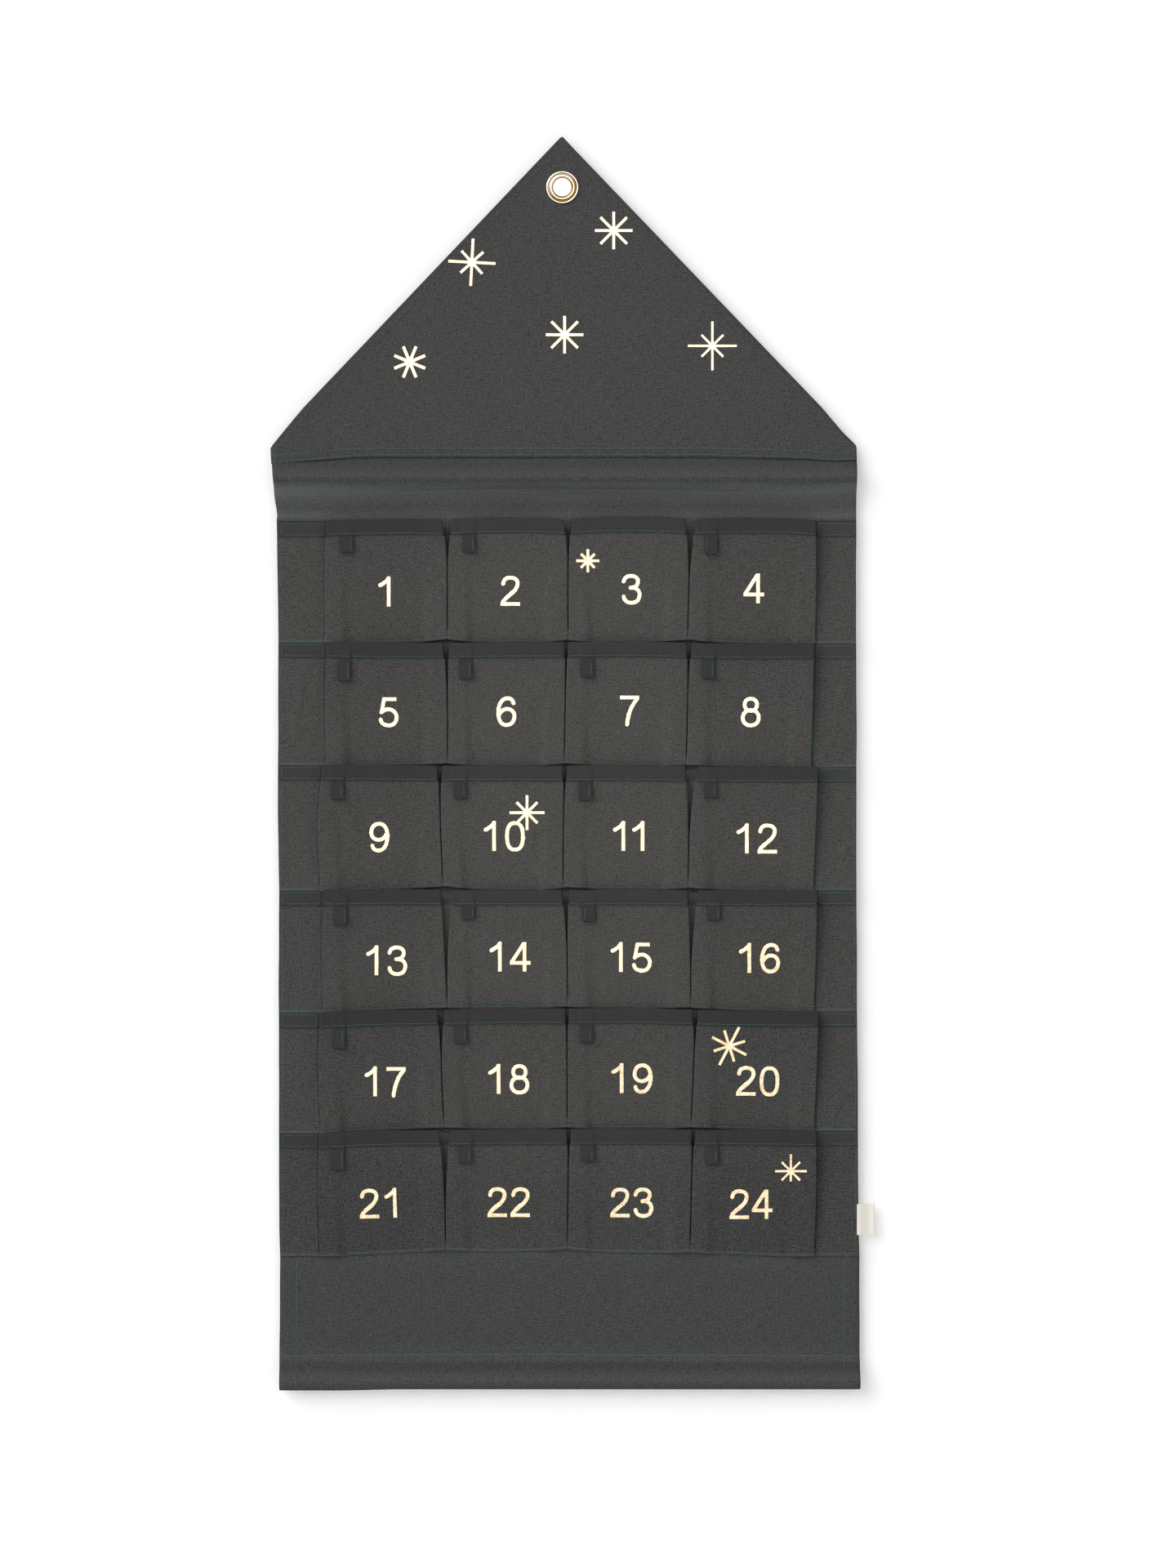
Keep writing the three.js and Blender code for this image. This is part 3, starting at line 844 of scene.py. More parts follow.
@dataclass(frozen=True)
class Glyphs:
    """Strokes of plain numerals, as middle lines in units of the type.

    Attributes:
        unit: Millimetres in a unit.
        half: Half of the stroke's width, in units.
        advance: Width of a numeral's cell.
        kern: How much closer a 1 stands behind a 1.
    """

    unit: float = 0.01569
    half: float = 94.0
    advance: float = 1139.0
    kern: float = 190.0

    def ring(self, middle: Point, across: float, up: float, power: float = 2.2) -> list[Point]:
        """A closed, slightly squared oval.

        Args:
            middle: Its middle.
            across: Half of its width.
            up: Half of its height.
            power: How square it is, from 2 for an ellipse.

        Returns:
            The closed line.
        """
        def bent(share: float) -> float:
            """A sine or cosine that swings wider, for squarer corners."""
            return math.copysign(abs(share) ** (2 / power), share)

        turns = evenly(0.0, 2 * math.pi, 40)
        return [(middle[0] + across * bent(math.cos(t)), middle[1] + up * bent(math.sin(t))) for t in turns]

    def curve(self, *knots: Point) -> list[Point]:
        """A smooth line through its knots.

        Args:
            *knots: The knots.

        Returns:
            The line.
        """
        ends = [knots[0], *knots, knots[-1]]
        line = []
        for a, b, c, d in zip(ends, ends[1:], ends[2:], ends[3:]):
            for step in range(5):
                t = step / 5
                weights = (-t ** 3 + 2 * t * t - t, 3 * t ** 3 - 5 * t * t + 2,
                           -3 * t ** 3 + 4 * t * t + t, t ** 3 - t * t)
                line.append(tuple(sum(w * p[i] for w, p in zip(weights, (a, b, c, d))) / 2 for i in (0, 1)))
        return [*line, knots[-1]]

    def strokes(self, numeral: str) -> list[list[Point]]:
        """Middle lines of one numeral.

        Args:
            numeral: 0 to 9.

        Returns:
            The lines, in units of the type.
        """
        six = self.curve(
            (930, 1110), (868, 1275), (745, 1362), (590, 1381), (400, 1310), (250, 1110), (180, 850),
            (168, 690), (190, 420), (300, 180), (450, 84), (575, 65), (760, 110), (900, 250), (962, 470),
            (930, 660), (800, 806), (610, 860), (440, 820), (290, 710), (205, 550))
        drawn = {
            "0": [self.ring((567, 720), 392, 655, 2.5)],
            "1": [[(673, 0), (673, 1472)],
                  self.curve((690, 1420), (600, 1290), (450, 1160), (330, 1085), (235, 1040))],
            "2": [self.curve((190, 1050), (240, 1235), (370, 1350), (565, 1381), (770, 1340), (890, 1215),
                             (910, 1060), (855, 880), (720, 700), (480, 490), (290, 320), (195, 200),
                             (165, 100)),
                  [(62, 87), (1031, 87)]],
            "3": [self.curve((165, 1085), (235, 1265), (380, 1360), (550, 1381), (720, 1350), (850, 1240),
                             (880, 1080), (820, 930), (690, 835), (480, 800)),
                  self.curve((480, 800), (700, 790), (880, 690), (959, 520), (955, 390), (870, 180),
                             (700, 85), (550, 65), (360, 100), (220, 230), (170, 400))],
            "4": [[(752, 0), (752, 1466)], [(26, 433), (1053, 433)], [(105, 450), (715, 1400)]],
            "5": [[(270, 1360), (960, 1360)],
                  [(352, 1400), (222, 690)],
                  self.curve((190, 690), (330, 800), (520, 860), (700, 840), (870, 720), (950, 570),
                             (966, 470), (930, 290), (800, 120), (620, 65), (530, 65), (350, 110),
                             (220, 225), (170, 380))],
            "6": [six],
            "7": [[(97, 1360), (1044, 1360)],
                  self.curve((985, 1345), (840, 1150), (700, 920), (590, 680), (510, 400), (462, 170),
                             (448, 0))],
            "8": [self.ring((566, 1085), 305, 297), self.ring((566, 440), 392, 375)],
            "9": [[(1134 - x, 1446 - y) for x, y in six]],
        }
        return drawn[numeral]

    def number(self, digits: str, left: float, base: float, turn: float = 0.0) -> list[list[Point]]:
        """Strokes of a number.

        Args:
            digits: The numerals.
            left: Where its ink starts, in millimetres.
            base: Level of its base.
            turn: How far it is turned to the left, in degrees.

        Returns:
            Middle lines in millimetres.
        """
        lines, start = [], 0.0
        for index, numeral in enumerate(digits):
            if index and digits[index - 1] == "1" == numeral:
                start -= self.kern
            lines += [[(x + start, y) for x, y in line] for line in self.strokes(numeral)]
            start += self.advance
        ink = min(x - (self.half if len(line) > 2 else 0) for line in lines for x, _ in line)
        cos, sin = math.cos(math.radians(turn)), math.sin(math.radians(turn))

        def placed(x: float, y: float) -> Point:
            """A point of the type, turned, in millimetres."""
            x -= ink
            return left + (x * cos - y * sin) * self.unit, base + (x * sin + y * cos) * self.unit

        return [[placed(x, y) for x, y in line] for line in lines]


@dataclass(frozen=True)
class Foil:
    """Foil prints, cut from overlapping strokes and laid on the cloth."""

    face: Finish
    rim: Finish
    thick: float = 0.12
    lift: float = 0.03
    rim_width: float = 0.2
    fray: float = 0.13
    longest: float = 0.9
    round_sides: int = 14

    def outline(self, line: Line, half: float) -> list[list[Vector]]:
        """Blocks along a stroke and round joints between them.

        Args:
            line: The stroke's middle line.
            half: Half of its width.

        Returns:
            Their outlines.
        """
        parts = []
        for a, b in zip(line, line[1:]):
            a, b = Vector(a), Vector(b)
            side = Vector((a.y - b.y, b.x - a.x)).normalized() * half
            parts.append([a - side, b - side, b + side, a + side])
        for joint in line[1:-1] if line[0] != line[-1] else line[1:]:
            spokes = [2 * math.pi * (step + 0.3) / self.round_sides for step in range(self.round_sides)]
            parts.append([Vector(joint) + Vector((math.cos(s), math.sin(s))) * half for s in spokes])
        return parts

    def press(self, name: str, strokes: Sequence[tuple[Line, float]], cloth: BVHTree) -> Piece:
        """Prints strokes on the cloth.

        Args:
            name: Name of the piece.
            strokes: Middle lines in millimetres, each with half its width.
            cloth: Search tree of the cloth that carries them.

        Returns:
            The print.
        """
        places, faces = [], []
        for line, half in strokes:
            for part in self.outline(line, half):
                faces.append(list(range(len(places), len(places) + len(part))))
                places.extend(part)
        spots, _, triangles, _, _, owners = delaunay_2d_cdt(places, [], faces, 0, 1e-4, True)
        shape = bmesh.new()
        corners = [shape.verts.new((spot.x, 0.0, spot.y)) for spot in spots]
        for triangle, owner in zip(triangles, owners):
            if owner:
                shape.faces.new([corners[index] for index in triangle])
        loose = [corner for corner in shape.verts if not corner.link_faces]
        bmesh.ops.delete(shape, geom=loose, context="VERTS")
        bmesh.ops.remove_doubles(shape, verts=shape.verts[:], dist=0.05)
        edges = [edge for edge in shape.edges if edge.calc_length() > self.longest]
        bmesh.ops.subdivide_edges(shape, edges=edges, cuts=2)
        bmesh.ops.triangulate(shape, faces=shape.faces[:])
        for corner in shape.verts:
            if corner.is_boundary:
                spot = corner.co * 1.1
                corner.co.x += noise.noise((spot.x, spot.z, 2.0)) * self.fray
                corner.co.z += noise.noise((spot.x, spot.z, 9.0)) * self.fray
        made = bmesh.ops.inset_region(shape, faces=shape.faces[:], thickness=self.rim_width,
                                      use_boundary=True, use_even_offset=False)
        for face in made["faces"]:
            face.material_index = 1
        for corner in shape.verts:
            spot = touch(cloth, corner.co.x, corner.co.z, Side.FRONT)
            depth = spot.y if spot else 0.0
            corner.co = Vector((corner.co.x * MM, depth - self.lift * MM, corner.co.z * MM))
        bmesh.ops.recalc_face_normals(shape, faces=shape.faces[:])
        if sum(face.normal.y for face in shape.faces) > 0:
            bmesh.ops.reverse_faces(shape, faces=shape.faces[:])
        piece = to_object(shape, name, [self.face, self.rim])
        return thicken(piece, self.thick, 1.0, 1)


@dataclass
class BackPanel:
    """Back cloth with its hems folded behind and a tunnel at each end."""

    finish: Finish
    thick: float = 0.8
    sheet_y: float = -1.25
    hem_y: float = -0.4
    hem_width: float = 11.0
    upper_seam: float = -234.5
    lower_seam: float = -906.7
    dowel_y: float = -6.1
    upper_dowel: float = -225.96
    lower_dowel: float = -925.8
    round: float = 5.72
    tuck: float = 2.0
    top: float = -201.7
    first_mouth: float = -257.4
    last_edge: float = -825.0
    columns: int = 124
    # How far the levels of the painted light and shade wander across the cloth.
    shade_sway: float = 0.9
    left: Line = (
        (-200, -224.9), (-215.5, -225), (-234.5, -223.2), (-247, -221.6), (-254, -221.1), (-258, -221.6),
        (-298, -221), (-349, -220.4), (-488, -220.6), (-548, -219.6), (-615, -220.1), (-805, -219.8),
        (-830, -218.9), (-868, -219.3), (-933, -219.4),
    )
    right: Line = (
        (-200, 228.3), (-215.5, 228.8), (-247, 228.1), (-298, 227.9), (-425, 228.2), (-615, 228.5),
        (-678, 228.9), (-742, 229.6), (-805, 229.6), (-830, 230.6), (-868, 230.4), (-933, 231.1),
    )
    upper_sway: Line = ((-222, -4.6), (-112, -0.6), (-12, 1.1), (109, -0.5), (178, -2.2), (226, -1.2))
    lower_sway: Line = ((-222, 0.2), (-100, 1.3), (0, 1.6), (60, 1), (226, 0.3))
    hem_drop: Line = ((-222, -1), (-168, -1), (-130, 0), (230, 0))
    creases: Sequence[Crease] = (
        Crease((8, -846), (13, -884), 2.6, -0.55),
        Crease((-200, -893), (-120, -886), 6, 0.35),
        Crease((60, -895), (200, -889), 6, 0.35),
        Crease((-190, -838), (-150, -862), 7, 0.3),
        Crease((120, -836), (190, -846), 6, 0.3),
        Crease((-216, -249), (-150, -246), 3.5, 0.3),
        Crease((-100, -246), (90, -245), 3.5, 0.25),
    )
    seam_pull: Line = ((-228.5, 0), (-231.1, 0.9), (-234.5, 2.2), (-240, 1.7), (-250, 0.3), (-255, 0))
    tunnel_creases: Sequence[Crease] = (
        Crease((-330, -909.4), (340, -909.4), 2.2, 0.9),
        Crease((-330, -914.8), (340, -914.8), 2.8, -2.2),
    )
    # Painted light and painted shade by level, on the front rows: painted light where shadows fall under the
    # roof's edge, below the upper seam, above the first mouths and round the last strip's lower edge, and
    # painted light and shade over the tunnels' bulges and dips.
    shades: Line = (
        (-208, 0), (-209, 2.2), (-210.2, 1.5), (-211.5, 0), (-213.2, -0.8), (-215.5, -0.5), (-218, 0),
        (-222, 0.4), (-224.5, 0.2), (-226, -0.8), (-228, -0.9), (-229.2, 0), (-230.7, 2.6), (-232, 4.4),
        (-233.5, 4.4), (-235, 2.8), (-237, 1.9), (-241, 1.4), (-247, 0.9), (-251, 2), (-255, 3.2),
        (-257.5, 1.4), (-262, 0), (-816, 0), (-822, 1.4), (-825.5, 1.4), (-829, 0.5), (-836, 0.2),
        (-844, 0), (-896, 0), (-902, 0.5), (-908.6, 0.2), (-910.8, -0.4), (-912.4, -0.9), (-915.2, -1),
        (-917.8, -0.35), (-920.3, 0), (-922.2, 0.3), (-924.1, 0.2), (-925.8, -0.2), (-928.5, -0.5),
        (-933, -0.8),
    )

    def path(self) -> tuple[Array, Array]:
        """The cloth's run from its lower end up the front and over the top.

        Returns:
            Rows of (y, z), and for each row whether it is part of a tunnel.
        """
        start = self.lower_seam + self.tuck
        line = [(self.hem_y, start - fall) for fall in (0.0, 2.6, 6.0, 10.5, 15.0, 18.5)]
        line += self._round(self.lower_dowel, 360.0, 148.8, 15)
        line += self._straight(line[-1], (self.sheet_y, self.lower_seam), 12)
        below = len(line)
        plain = np.concatenate([
            np.arange(self.lower_seam + 1.5, self.last_edge + 6, 2.8),
            np.arange(self.last_edge + 9, self.first_mouth - 8, 9.0),
            np.arange(self.first_mouth - 5, self.upper_seam - 1.2, 2.2),
        ])
        line += [(self.sheet_y, float(level)) for level in plain]
        line.append((self.sheet_y, self.upper_seam))
        bulge = self._round(self.upper_dowel, 245.2, 137.7, 9)
        line += self._straight(line[-1], bulge[0], 3)[:-1] + bulge
        line += self._straight(bulge[-1], (self.sheet_y, -212.1), 4)
        line += [(self.sheet_y, level) for level in (-208.5, -205.0)]
        middle, bend = (self.sheet_y + self.hem_y) / 2, (self.hem_y - self.sheet_y) / 2
        for angle in map(math.radians, (180, 135, 90, 45, 0)):
            line.append((middle + bend * math.cos(angle), self.top + bend * (math.sin(angle) - 1)))
        line += [(self.hem_y, self.top - fall) for fall in (3.5, 9.0, 15.0, 21.0, 27.0, 31.5, 34.9)]
        tunnel = np.ones(len(line), bool)
        tunnel[below:below + len(plain)] = False
        return np.array(line), tunnel

    def _round(self, level: float, start: float, end: float, steps: int) -> list[Point]:
        """Rows round a dowel, between two angles in degrees."""
        turns = [math.radians(turn) for turn in evenly(start, end, steps)]
        return arc((self.dowel_y, level), self.round, turns)

    def _straight(self, start: Point, end: Point, steps: int) -> list[Point]:
        """Rows from a place, not counted, to another."""
        return list(zip(*(evenly(a, b, steps)[1:] for a, b in zip(start, end))))

    def edge(self, z: Array, side: int) -> Array:
        """Left (-1) or right (1) edge at a level."""
        wave = unevenness(np.asarray(z, float), np.full(np.shape(z), side * 7.0), 34.0, 3.3) * 0.35
        return along(z, self.left if side < 0 else self.right) + wave

    def make(self) -> Piece:
        """Builds the back cloth.

        Returns:
            The cloth.
        """
        path, tunnel = self.path()
        run = np.gradient(path, axis=0)
        run /= np.linalg.norm(run, axis=1)[:, None]
        normal = np.stack([-run[:, 1], run[:, 0]], axis=1)
        lay = abs(self.hem_y - self.sheet_y)
        hem = turned_edge((self.hem_width, 7.4, 3.8), self.thick, lay)
        shares = np.linspace(0, 1, self.columns)[1:]
        count = 2 * len(hem) + len(shares) - 1
        rows = len(path)
        points = np.zeros((rows, count, 3))
        left, right = self.edge(path[:, 1], -1), self.edge(path[:, 1], 1)
        offset = np.zeros((rows, count))
        for index, (inset, behind) in enumerate(hem):
            points[:, index, 0], points[:, -1 - index, 0] = left + inset, right - inset
            offset[:, index] = offset[:, -1 - index] = behind
        inner = hem[-1][0]
        for index, share in enumerate(shares[:-1]):
            points[:, len(hem) + index, 0] = left + inner + (right - left - 2 * inner) * share
        points[:, :, 1] = path[:, :1] - offset * normal[:, :1]
        points[:, :, 2] = path[:, 1:] - offset * normal[:, 1:]
        self._sway(points, path, tunnel)
        flat = np.zeros((rows, count, 2))
        flat[:, :, 0] = points[rows // 2, :, 0]
        flat[:, :len(hem), 0] = left[rows // 2] * 2 - flat[:, :len(hem), 0]
        flat[:, -len(hem):, 0] = right[rows // 2] * 2 - flat[:, -len(hem):, 0]
        flat[:, :, 1] = run_along(path)[:, None]
        keep = np.ones((rows - 1, count - 1), bool)
        part = tunnel[:-1] | tunnel[1:]
        keep[part, :5] = keep[part, -5:] = False
        # The tunnels' cloth is made paler, and the painted light and shade by level go on the front rows.
        worn = np.tile(np.where(tunnel, 0.6, 0.0)[:, None], (1, count))
        wave = self.shade_sway * unevenness(points[:, :, 0], points[:, :, 2] * 0, 55.0, 2.2)
        sway = points[:, :, 2] - path[:, 1:]
        worn = worn + along(points[:, :, 2] - sway + wave, self.shades) * (path[:, :1] < self.hem_y - 0.4)
        # Painted highlight along the folded side edges.
        worn[:, 5] += 0.35
        worn[:, -6] += 0.35
        piece = Sheet(points, flat, self.thick, keep, None, worn).make("back_panel_cloth", [self.finish])
        dress(piece, "back_panel")
        return piece

    def _sway(self, points: Array, path: Array, tunnel: Array) -> None:
        """Moves the seams and the lower edge as they are sewn, and adds soft creases.

        Args:
            points: Rows by columns by three, changed in place.
            path: The rows' (y, z).
            tunnel: Which rows are part of a tunnel.
        """
        x, y, z = np.moveaxis(points, 2, 0)
        front = (np.arange(len(path)) > 5)[:, None] & (path[:, 1] < self.top + 0.6)[:, None]
        upper = along(path[:, 1], ((-256, 0), (-238, 1), (self.upper_seam - 0.1, 1), (-231.6, 0)))[:, None]
        lower = along(path[:, 1], ((-913, 0), (self.lower_seam, 1), (-902, 1), (-875, 0)))[:, None]
        low = along(path[:, 1], ((-925, 0), (-932, 1)))[:, None]
        swayed = (path[:, :1] < self.sheet_y + 0.1) & front
        shift = upper * along(x, self.upper_sway) + lower * along(x, self.lower_sway)
        plain = along(path[:, 1], ((self.lower_seam, 0.1), (-895, 1), (-835, 1), (self.last_edge, 0.25),
                                   (-800, 0.12), (-262, 0.12), (-250, 0.8), (self.upper_seam, 0.1)))
        soft = 0.5 + unevenness(x, z, 46.0, 1.2, 0.7) * 0.7 + unevenness(x, z, 17.0, 6.4) * 0.3
        rise = np.where(tunnel[:, None], 0.0, plain[:, None] * 0.42 * np.clip(soft, 0, 1.2))
        for crease in self.creases:
            rise = rise + np.where(tunnel[:, None], 0.0, crease.rise(x, z))
        y -= np.where(swayed, np.maximum(rise, -0.1), 0.0)
        pulled = along(path[:, 1], self.seam_pull)[:, None]
        behind = (np.arange(len(path)) > len(path) - 8)[:, None]
        y -= np.where(behind, np.minimum(pulled, 2.6), pulled)
        outer = front & (path[:, :1] < self.sheet_y - 0.3)
        soft = 1 + 0.5 * unevenness(x, z * 0, 60.0, 3.1)
        for crease in self.tunnel_creases:
            y -= np.where(outer, crease.rise(x, z) * soft, 0.0)
        z += np.where(swayed, shift, 0.0) + low * along(x, self.hem_drop)

    def seams(self) -> list[SeamRow]:
        """Rows of stitches that show on the panel's front.

        Returns:
            The rows.
        """
        across = np.linspace(-219.5, 228.5, 60)
        upper = raised(across, along(across, self.upper_sway), self.upper_seam - 0.3)
        lower = raised(across, along(across, self.lower_sway), self.lower_seam + 0.2)
        return [
            SeamRow(upper), SeamRow(lower),
            SeamRow([(-212.3, -216.0), (-211.4, -234.5), (-209.6, -242.5), (-209.2, -257.6)]),
            SeamRow([(216.5, -213.5), (216.5, -257.6)]),
            SeamRow([(-205.9, -831.0), (-206.6, -929.0)]),
            SeamRow([(218.4, -831.0), (218.4, -929.0)]),
        ]

    def back_seams(self) -> list[SeamRow]:
        """Rows of stitches that show behind.

        Returns:
            The rows.
        """
        across = np.linspace(-217, 226, 40)
        upper = raised(across, along(across, self.upper_sway), self.upper_seam - 0.3)
        lower = [(x, self.lower_seam + 1.2) for x in across]
        sides = [SeamRow([(x, -238.0), (x, -903.0)], Side.BACK) for x in (-209.6, 218.6, -217.6, 226.4)]
        return [SeamRow(upper, Side.BACK), SeamRow(lower, Side.BACK), *sides]


@dataclass
class Roof:
    """Roof-shaped cloth, hemmed all round, with a hole for the eyelet."""

    finish: Finish
    thick: float = 0.8
    sheet_y: float = -3.1
    hem_y: float = -2.28
    hem_width: float = 9.0
    edge_level: float = -209.4
    hole: float = 8.3
    columns: int = 120
    left: Line = (
        (39.3, -0.6), (38, -2.1), (28.5, -11.2), (-171.1, -201), (-180.6, -209), (-190.1, -216.8),
        (-199.6, -224.5), (-202.3, -226.4), (-206.6, -226), (-216, -225.1),
    )
    right: Line = (
        (39.3, 0.6), (38, 1.5), (28.5, 10.3), (-171.1, 201.6), (-180.6, 209.6), (-190.1, 217.7),
        (-199.4, 227.2), (-200.6, 228), (-216, 228.8),
    )
    edge: Line = (
        (-226, -5.8), (-213, -4.8), (-183, -2.1), (-156, 0), (108, 0.2), (190, -1.6), (209, -3.4),
        (229, -2.8),
    )
    creases: Sequence[Crease] = (
        Crease((1.2, -30), (1, -206), 1.5, 0.32),
        Crease((-180, -196), (-60, -192), 7, 0.3),
        Crease((70, -193), (190, -199), 7, 0.3),
        Crease((-120, -120), (-60, -150), 12, 0.25),
        Crease((60, -90), (120, -140), 12, 0.25),
    )

    def lower_edge(self, x: Array) -> Array:
        """Level of the roof's lower edge."""
        return self.edge_level + along(x, self.edge)

    def make(self) -> Piece:
        """Builds the roof.

        Returns:
            The cloth.
        """
        lay = self.hem_y - self.sheet_y
        fold = turned_edge((), self.thick, lay)
        line = turned_edge((self.hem_width, 6.0, 3.0), self.thick, lay)
        turned = len(line)
        steps = np.concatenate([np.array([1.6, 2.6, 4.0, 5.6, 7.0, 8.4, 9.2, 10.4, 12.0]),
                                np.arange(14.5, 240.0, 3.0), np.array([242.0, 244.2, 246.2, 247.6, 248.4])])
        line += [(float(step), 0.0) for step in steps]
        rise = np.array([step for step, _ in line])
        behind = np.array([back for _, back in line])
        level = self.edge_level + rise
        left, right = along(level, self.left), along(level, self.right)
        slope = np.abs(np.gradient(left, level))
        slope[:turned] = 0.2
        hem = np.minimum(self.hem_width * np.sqrt(1 + slope ** 2), 0.46 * (right - left))
        side = (1.0, 0.68, 0.35)
        shares = np.linspace(0, 1, self.columns)[1:-1]
        side_count = len(side) + len(fold)
        count = 2 * side_count + len(shares)
        rows = len(line)
        x, back = np.zeros((rows, count)), np.tile(behind[:, None], (1, count))
        edges = [(hem * share, lay) for share in side]
        edges += [(np.minimum(inset, 0.3 * (right - left)), lain) for inset, lain in fold]
        for index, (inset, lain) in enumerate(edges):
            x[:, index], x[:, -1 - index] = left + inset, right - inset
            back[:, index] = back[:, -1 - index] = behind + lain
        inner = np.minimum(self.thick / 2 + lay / 2, 0.3 * (right - left))
        for index, share in enumerate(shares):
            x[:, side_count + index] = left + inner + (right - left - 2 * inner) * share
        fade = along(level, ((self.edge_level, 1.0), (-203.0, 0.0)))[:, None]
        z = level[:, None] + np.where(fade > 0, along(x, self.edge) * fade, 0.0)
        soft = 0.5 + unevenness(x, z, 60.0, 4.7) * 0.7 + unevenness(x, z, 21.0, 2.9) * 0.25
        held = along(level, ((-209, 0.15), (-190, 1), (0, 1), (39, 0.2)))[:, None]
        lift = 0.55 * np.clip(soft, 0, 1.2) * held
        lift = lift * ease((np.hypot(x, z) - 13.5) / 18.0)
        for crease in self.creases:
            lift = lift + crease.rise(x, z) * (back == 0)
        points = np.stack([x, self.sheet_y + back - lift, z], axis=2)
        flat = np.stack([x, z], axis=2)
        flat[:, :side_count, 0] = 2 * left[:, None] - x[:, :side_count]
        flat[:, -side_count:, 0] = 2 * right[:, None] - x[:, -side_count:]
        flat[:turned - 2, :, 1] = 2 * self.edge_level - z[:turned - 2]
        keep = np.ones((rows - 1, count - 1), bool)
        keep[:turned - 3, :side_count - 3] = keep[:turned - 3, -(side_count - 3):] = False
        middle = (points[:-1, :-1] + points[1:, 1:]) / 2
        keep &= np.hypot(middle[:, :, 0], middle[:, :, 2]) > self.hole
        worn = np.zeros((rows, count))
        # Painted highlight along the folded side edges and the folded lower edge.
        worn[:, len(side) + 2] = worn[:, -1 - len(side) - 2] = 0.5
        worn[turned - 3] = 0.8
        piece = Sheet(points, flat, self.thick, keep, None, worn).make("roof_cloth", [self.finish])
        dress(piece, "roof")
        return piece

    def slope_seams(self, side: Side) -> list[SeamRow]:
        """Two rows along each slope.

        Args:
            side: Side of the cloth they are seen on.

        Returns:
            The rows.
        """
        rows = []
        for inset in (1.7, 7.4):
            levels = np.linspace(-199.0 + inset * 0.6, 37.0 - inset * 1.5, 60)
            lean = inset * 1.38
            rows.append(SeamRow(raised(along(levels, self.left) + lean, levels), side))
            rows.append(SeamRow(raised(along(levels, self.right) - lean, levels), side))
        return rows

    def edge_seams(self, side: Side) -> list[SeamRow]:
        """Two rows along the lower edge, and its ends.

        Args:
            side: Side of the cloth they are seen on.

        Returns:
            The rows.
        """
        rows = []
        across = np.linspace(-224.0, 227.4, 80)
        for rise in (2.0, 7.0):
            rows.append(SeamRow(raised(across, self.lower_edge(across), rise), side))
        rows.append(SeamRow([(-223.2, -204.0), (-222.6, -212.5)], side))
        rows.append(SeamRow([(226.0, -202.5), (226.4, -210.5)], side))
        return rows


@dataclass
class Eyelet:
    """Brass eyelet: a flanged barrel from behind, rolled over a washer in front."""

    finish: Finish
    thick: float = 0.5
    outer: float = 12.45
    barrel: float = 7.4
    foot: float = -2.15
    crown: float = 1.2
    curl_radius: float = 8.6
    curl_y: float = -6.05
    curl_bend: float = 1.2
    washer_y: float = -4.05
    band_width: float = 1.3
    band_height: float = 1.4
    washer_inner: float = 7.98
    steps: int = 96

    def _spin(self, name: str, node: str, line: Line) -> Piece:
        """Turns a metal section, given as (radius, y), round the eyelet's axis.

        Args:
            name: Name of the piece.
            node: The node that it replaces.
            line: The section.

        Returns:
            The closed metal.
        """
        shape = bmesh.new()
        verts = [shape.verts.new((radius * MM, y * MM, 0.0)) for radius, y in line]
        edges = [shape.edges.new(pair) for pair in zip(verts, verts[1:])]
        bmesh.ops.spin(shape, geom=verts + edges, axis=(0, 1, 0), cent=(0, 0, 0), angle=2 * math.pi,
                       steps=self.steps, use_merge=True)
        bmesh.ops.remove_doubles(shape, verts=shape.verts[:], dist=0.00001)
        bmesh.ops.recalc_face_normals(shape, faces=shape.faces[:])
        return dress(thicken(to_object(shape, name, [self.finish]), self.thick), node)

    def _crown(self, inner: float, foot: float, crown: float, steps: int) -> list[Point]:
        """Half an oval from the outer edge in to a radius, with its ends at foot."""
        middle, half = (self.outer + inner) / 2, (self.outer - inner) / 2
        return [(middle + half * math.cos(t), foot + crown * math.sin(t)) for t in evenly(0, math.pi, steps)]

    def make(self) -> list[Piece]:
        """Builds both halves.

        Returns:
            The flanged ring and the washer.
        """
        flange = self._crown(self.barrel, self.foot, self.crown, 14)
        flange += [(self.barrel, -2.8), (self.barrel, -3.6), (self.barrel, -4.4)]
        curl = [math.pi + turn for turn in evenly(0.0, 1.4 * math.pi, 18)]
        flange += arc((self.curl_radius, self.curl_y), self.curl_bend, curl)
        washer = self._crown(self.outer - self.band_width, self.washer_y, -self.band_height, 12)
        washer += [(10.4, self.washer_y), (9.2, self.washer_y), (self.washer_inner, self.washer_y)]
        return [self._spin("eyelet_flange_ring", "eyelet_flange", flange),
                self._spin("eyelet_washer_ring", "eyelet_washer", washer)]


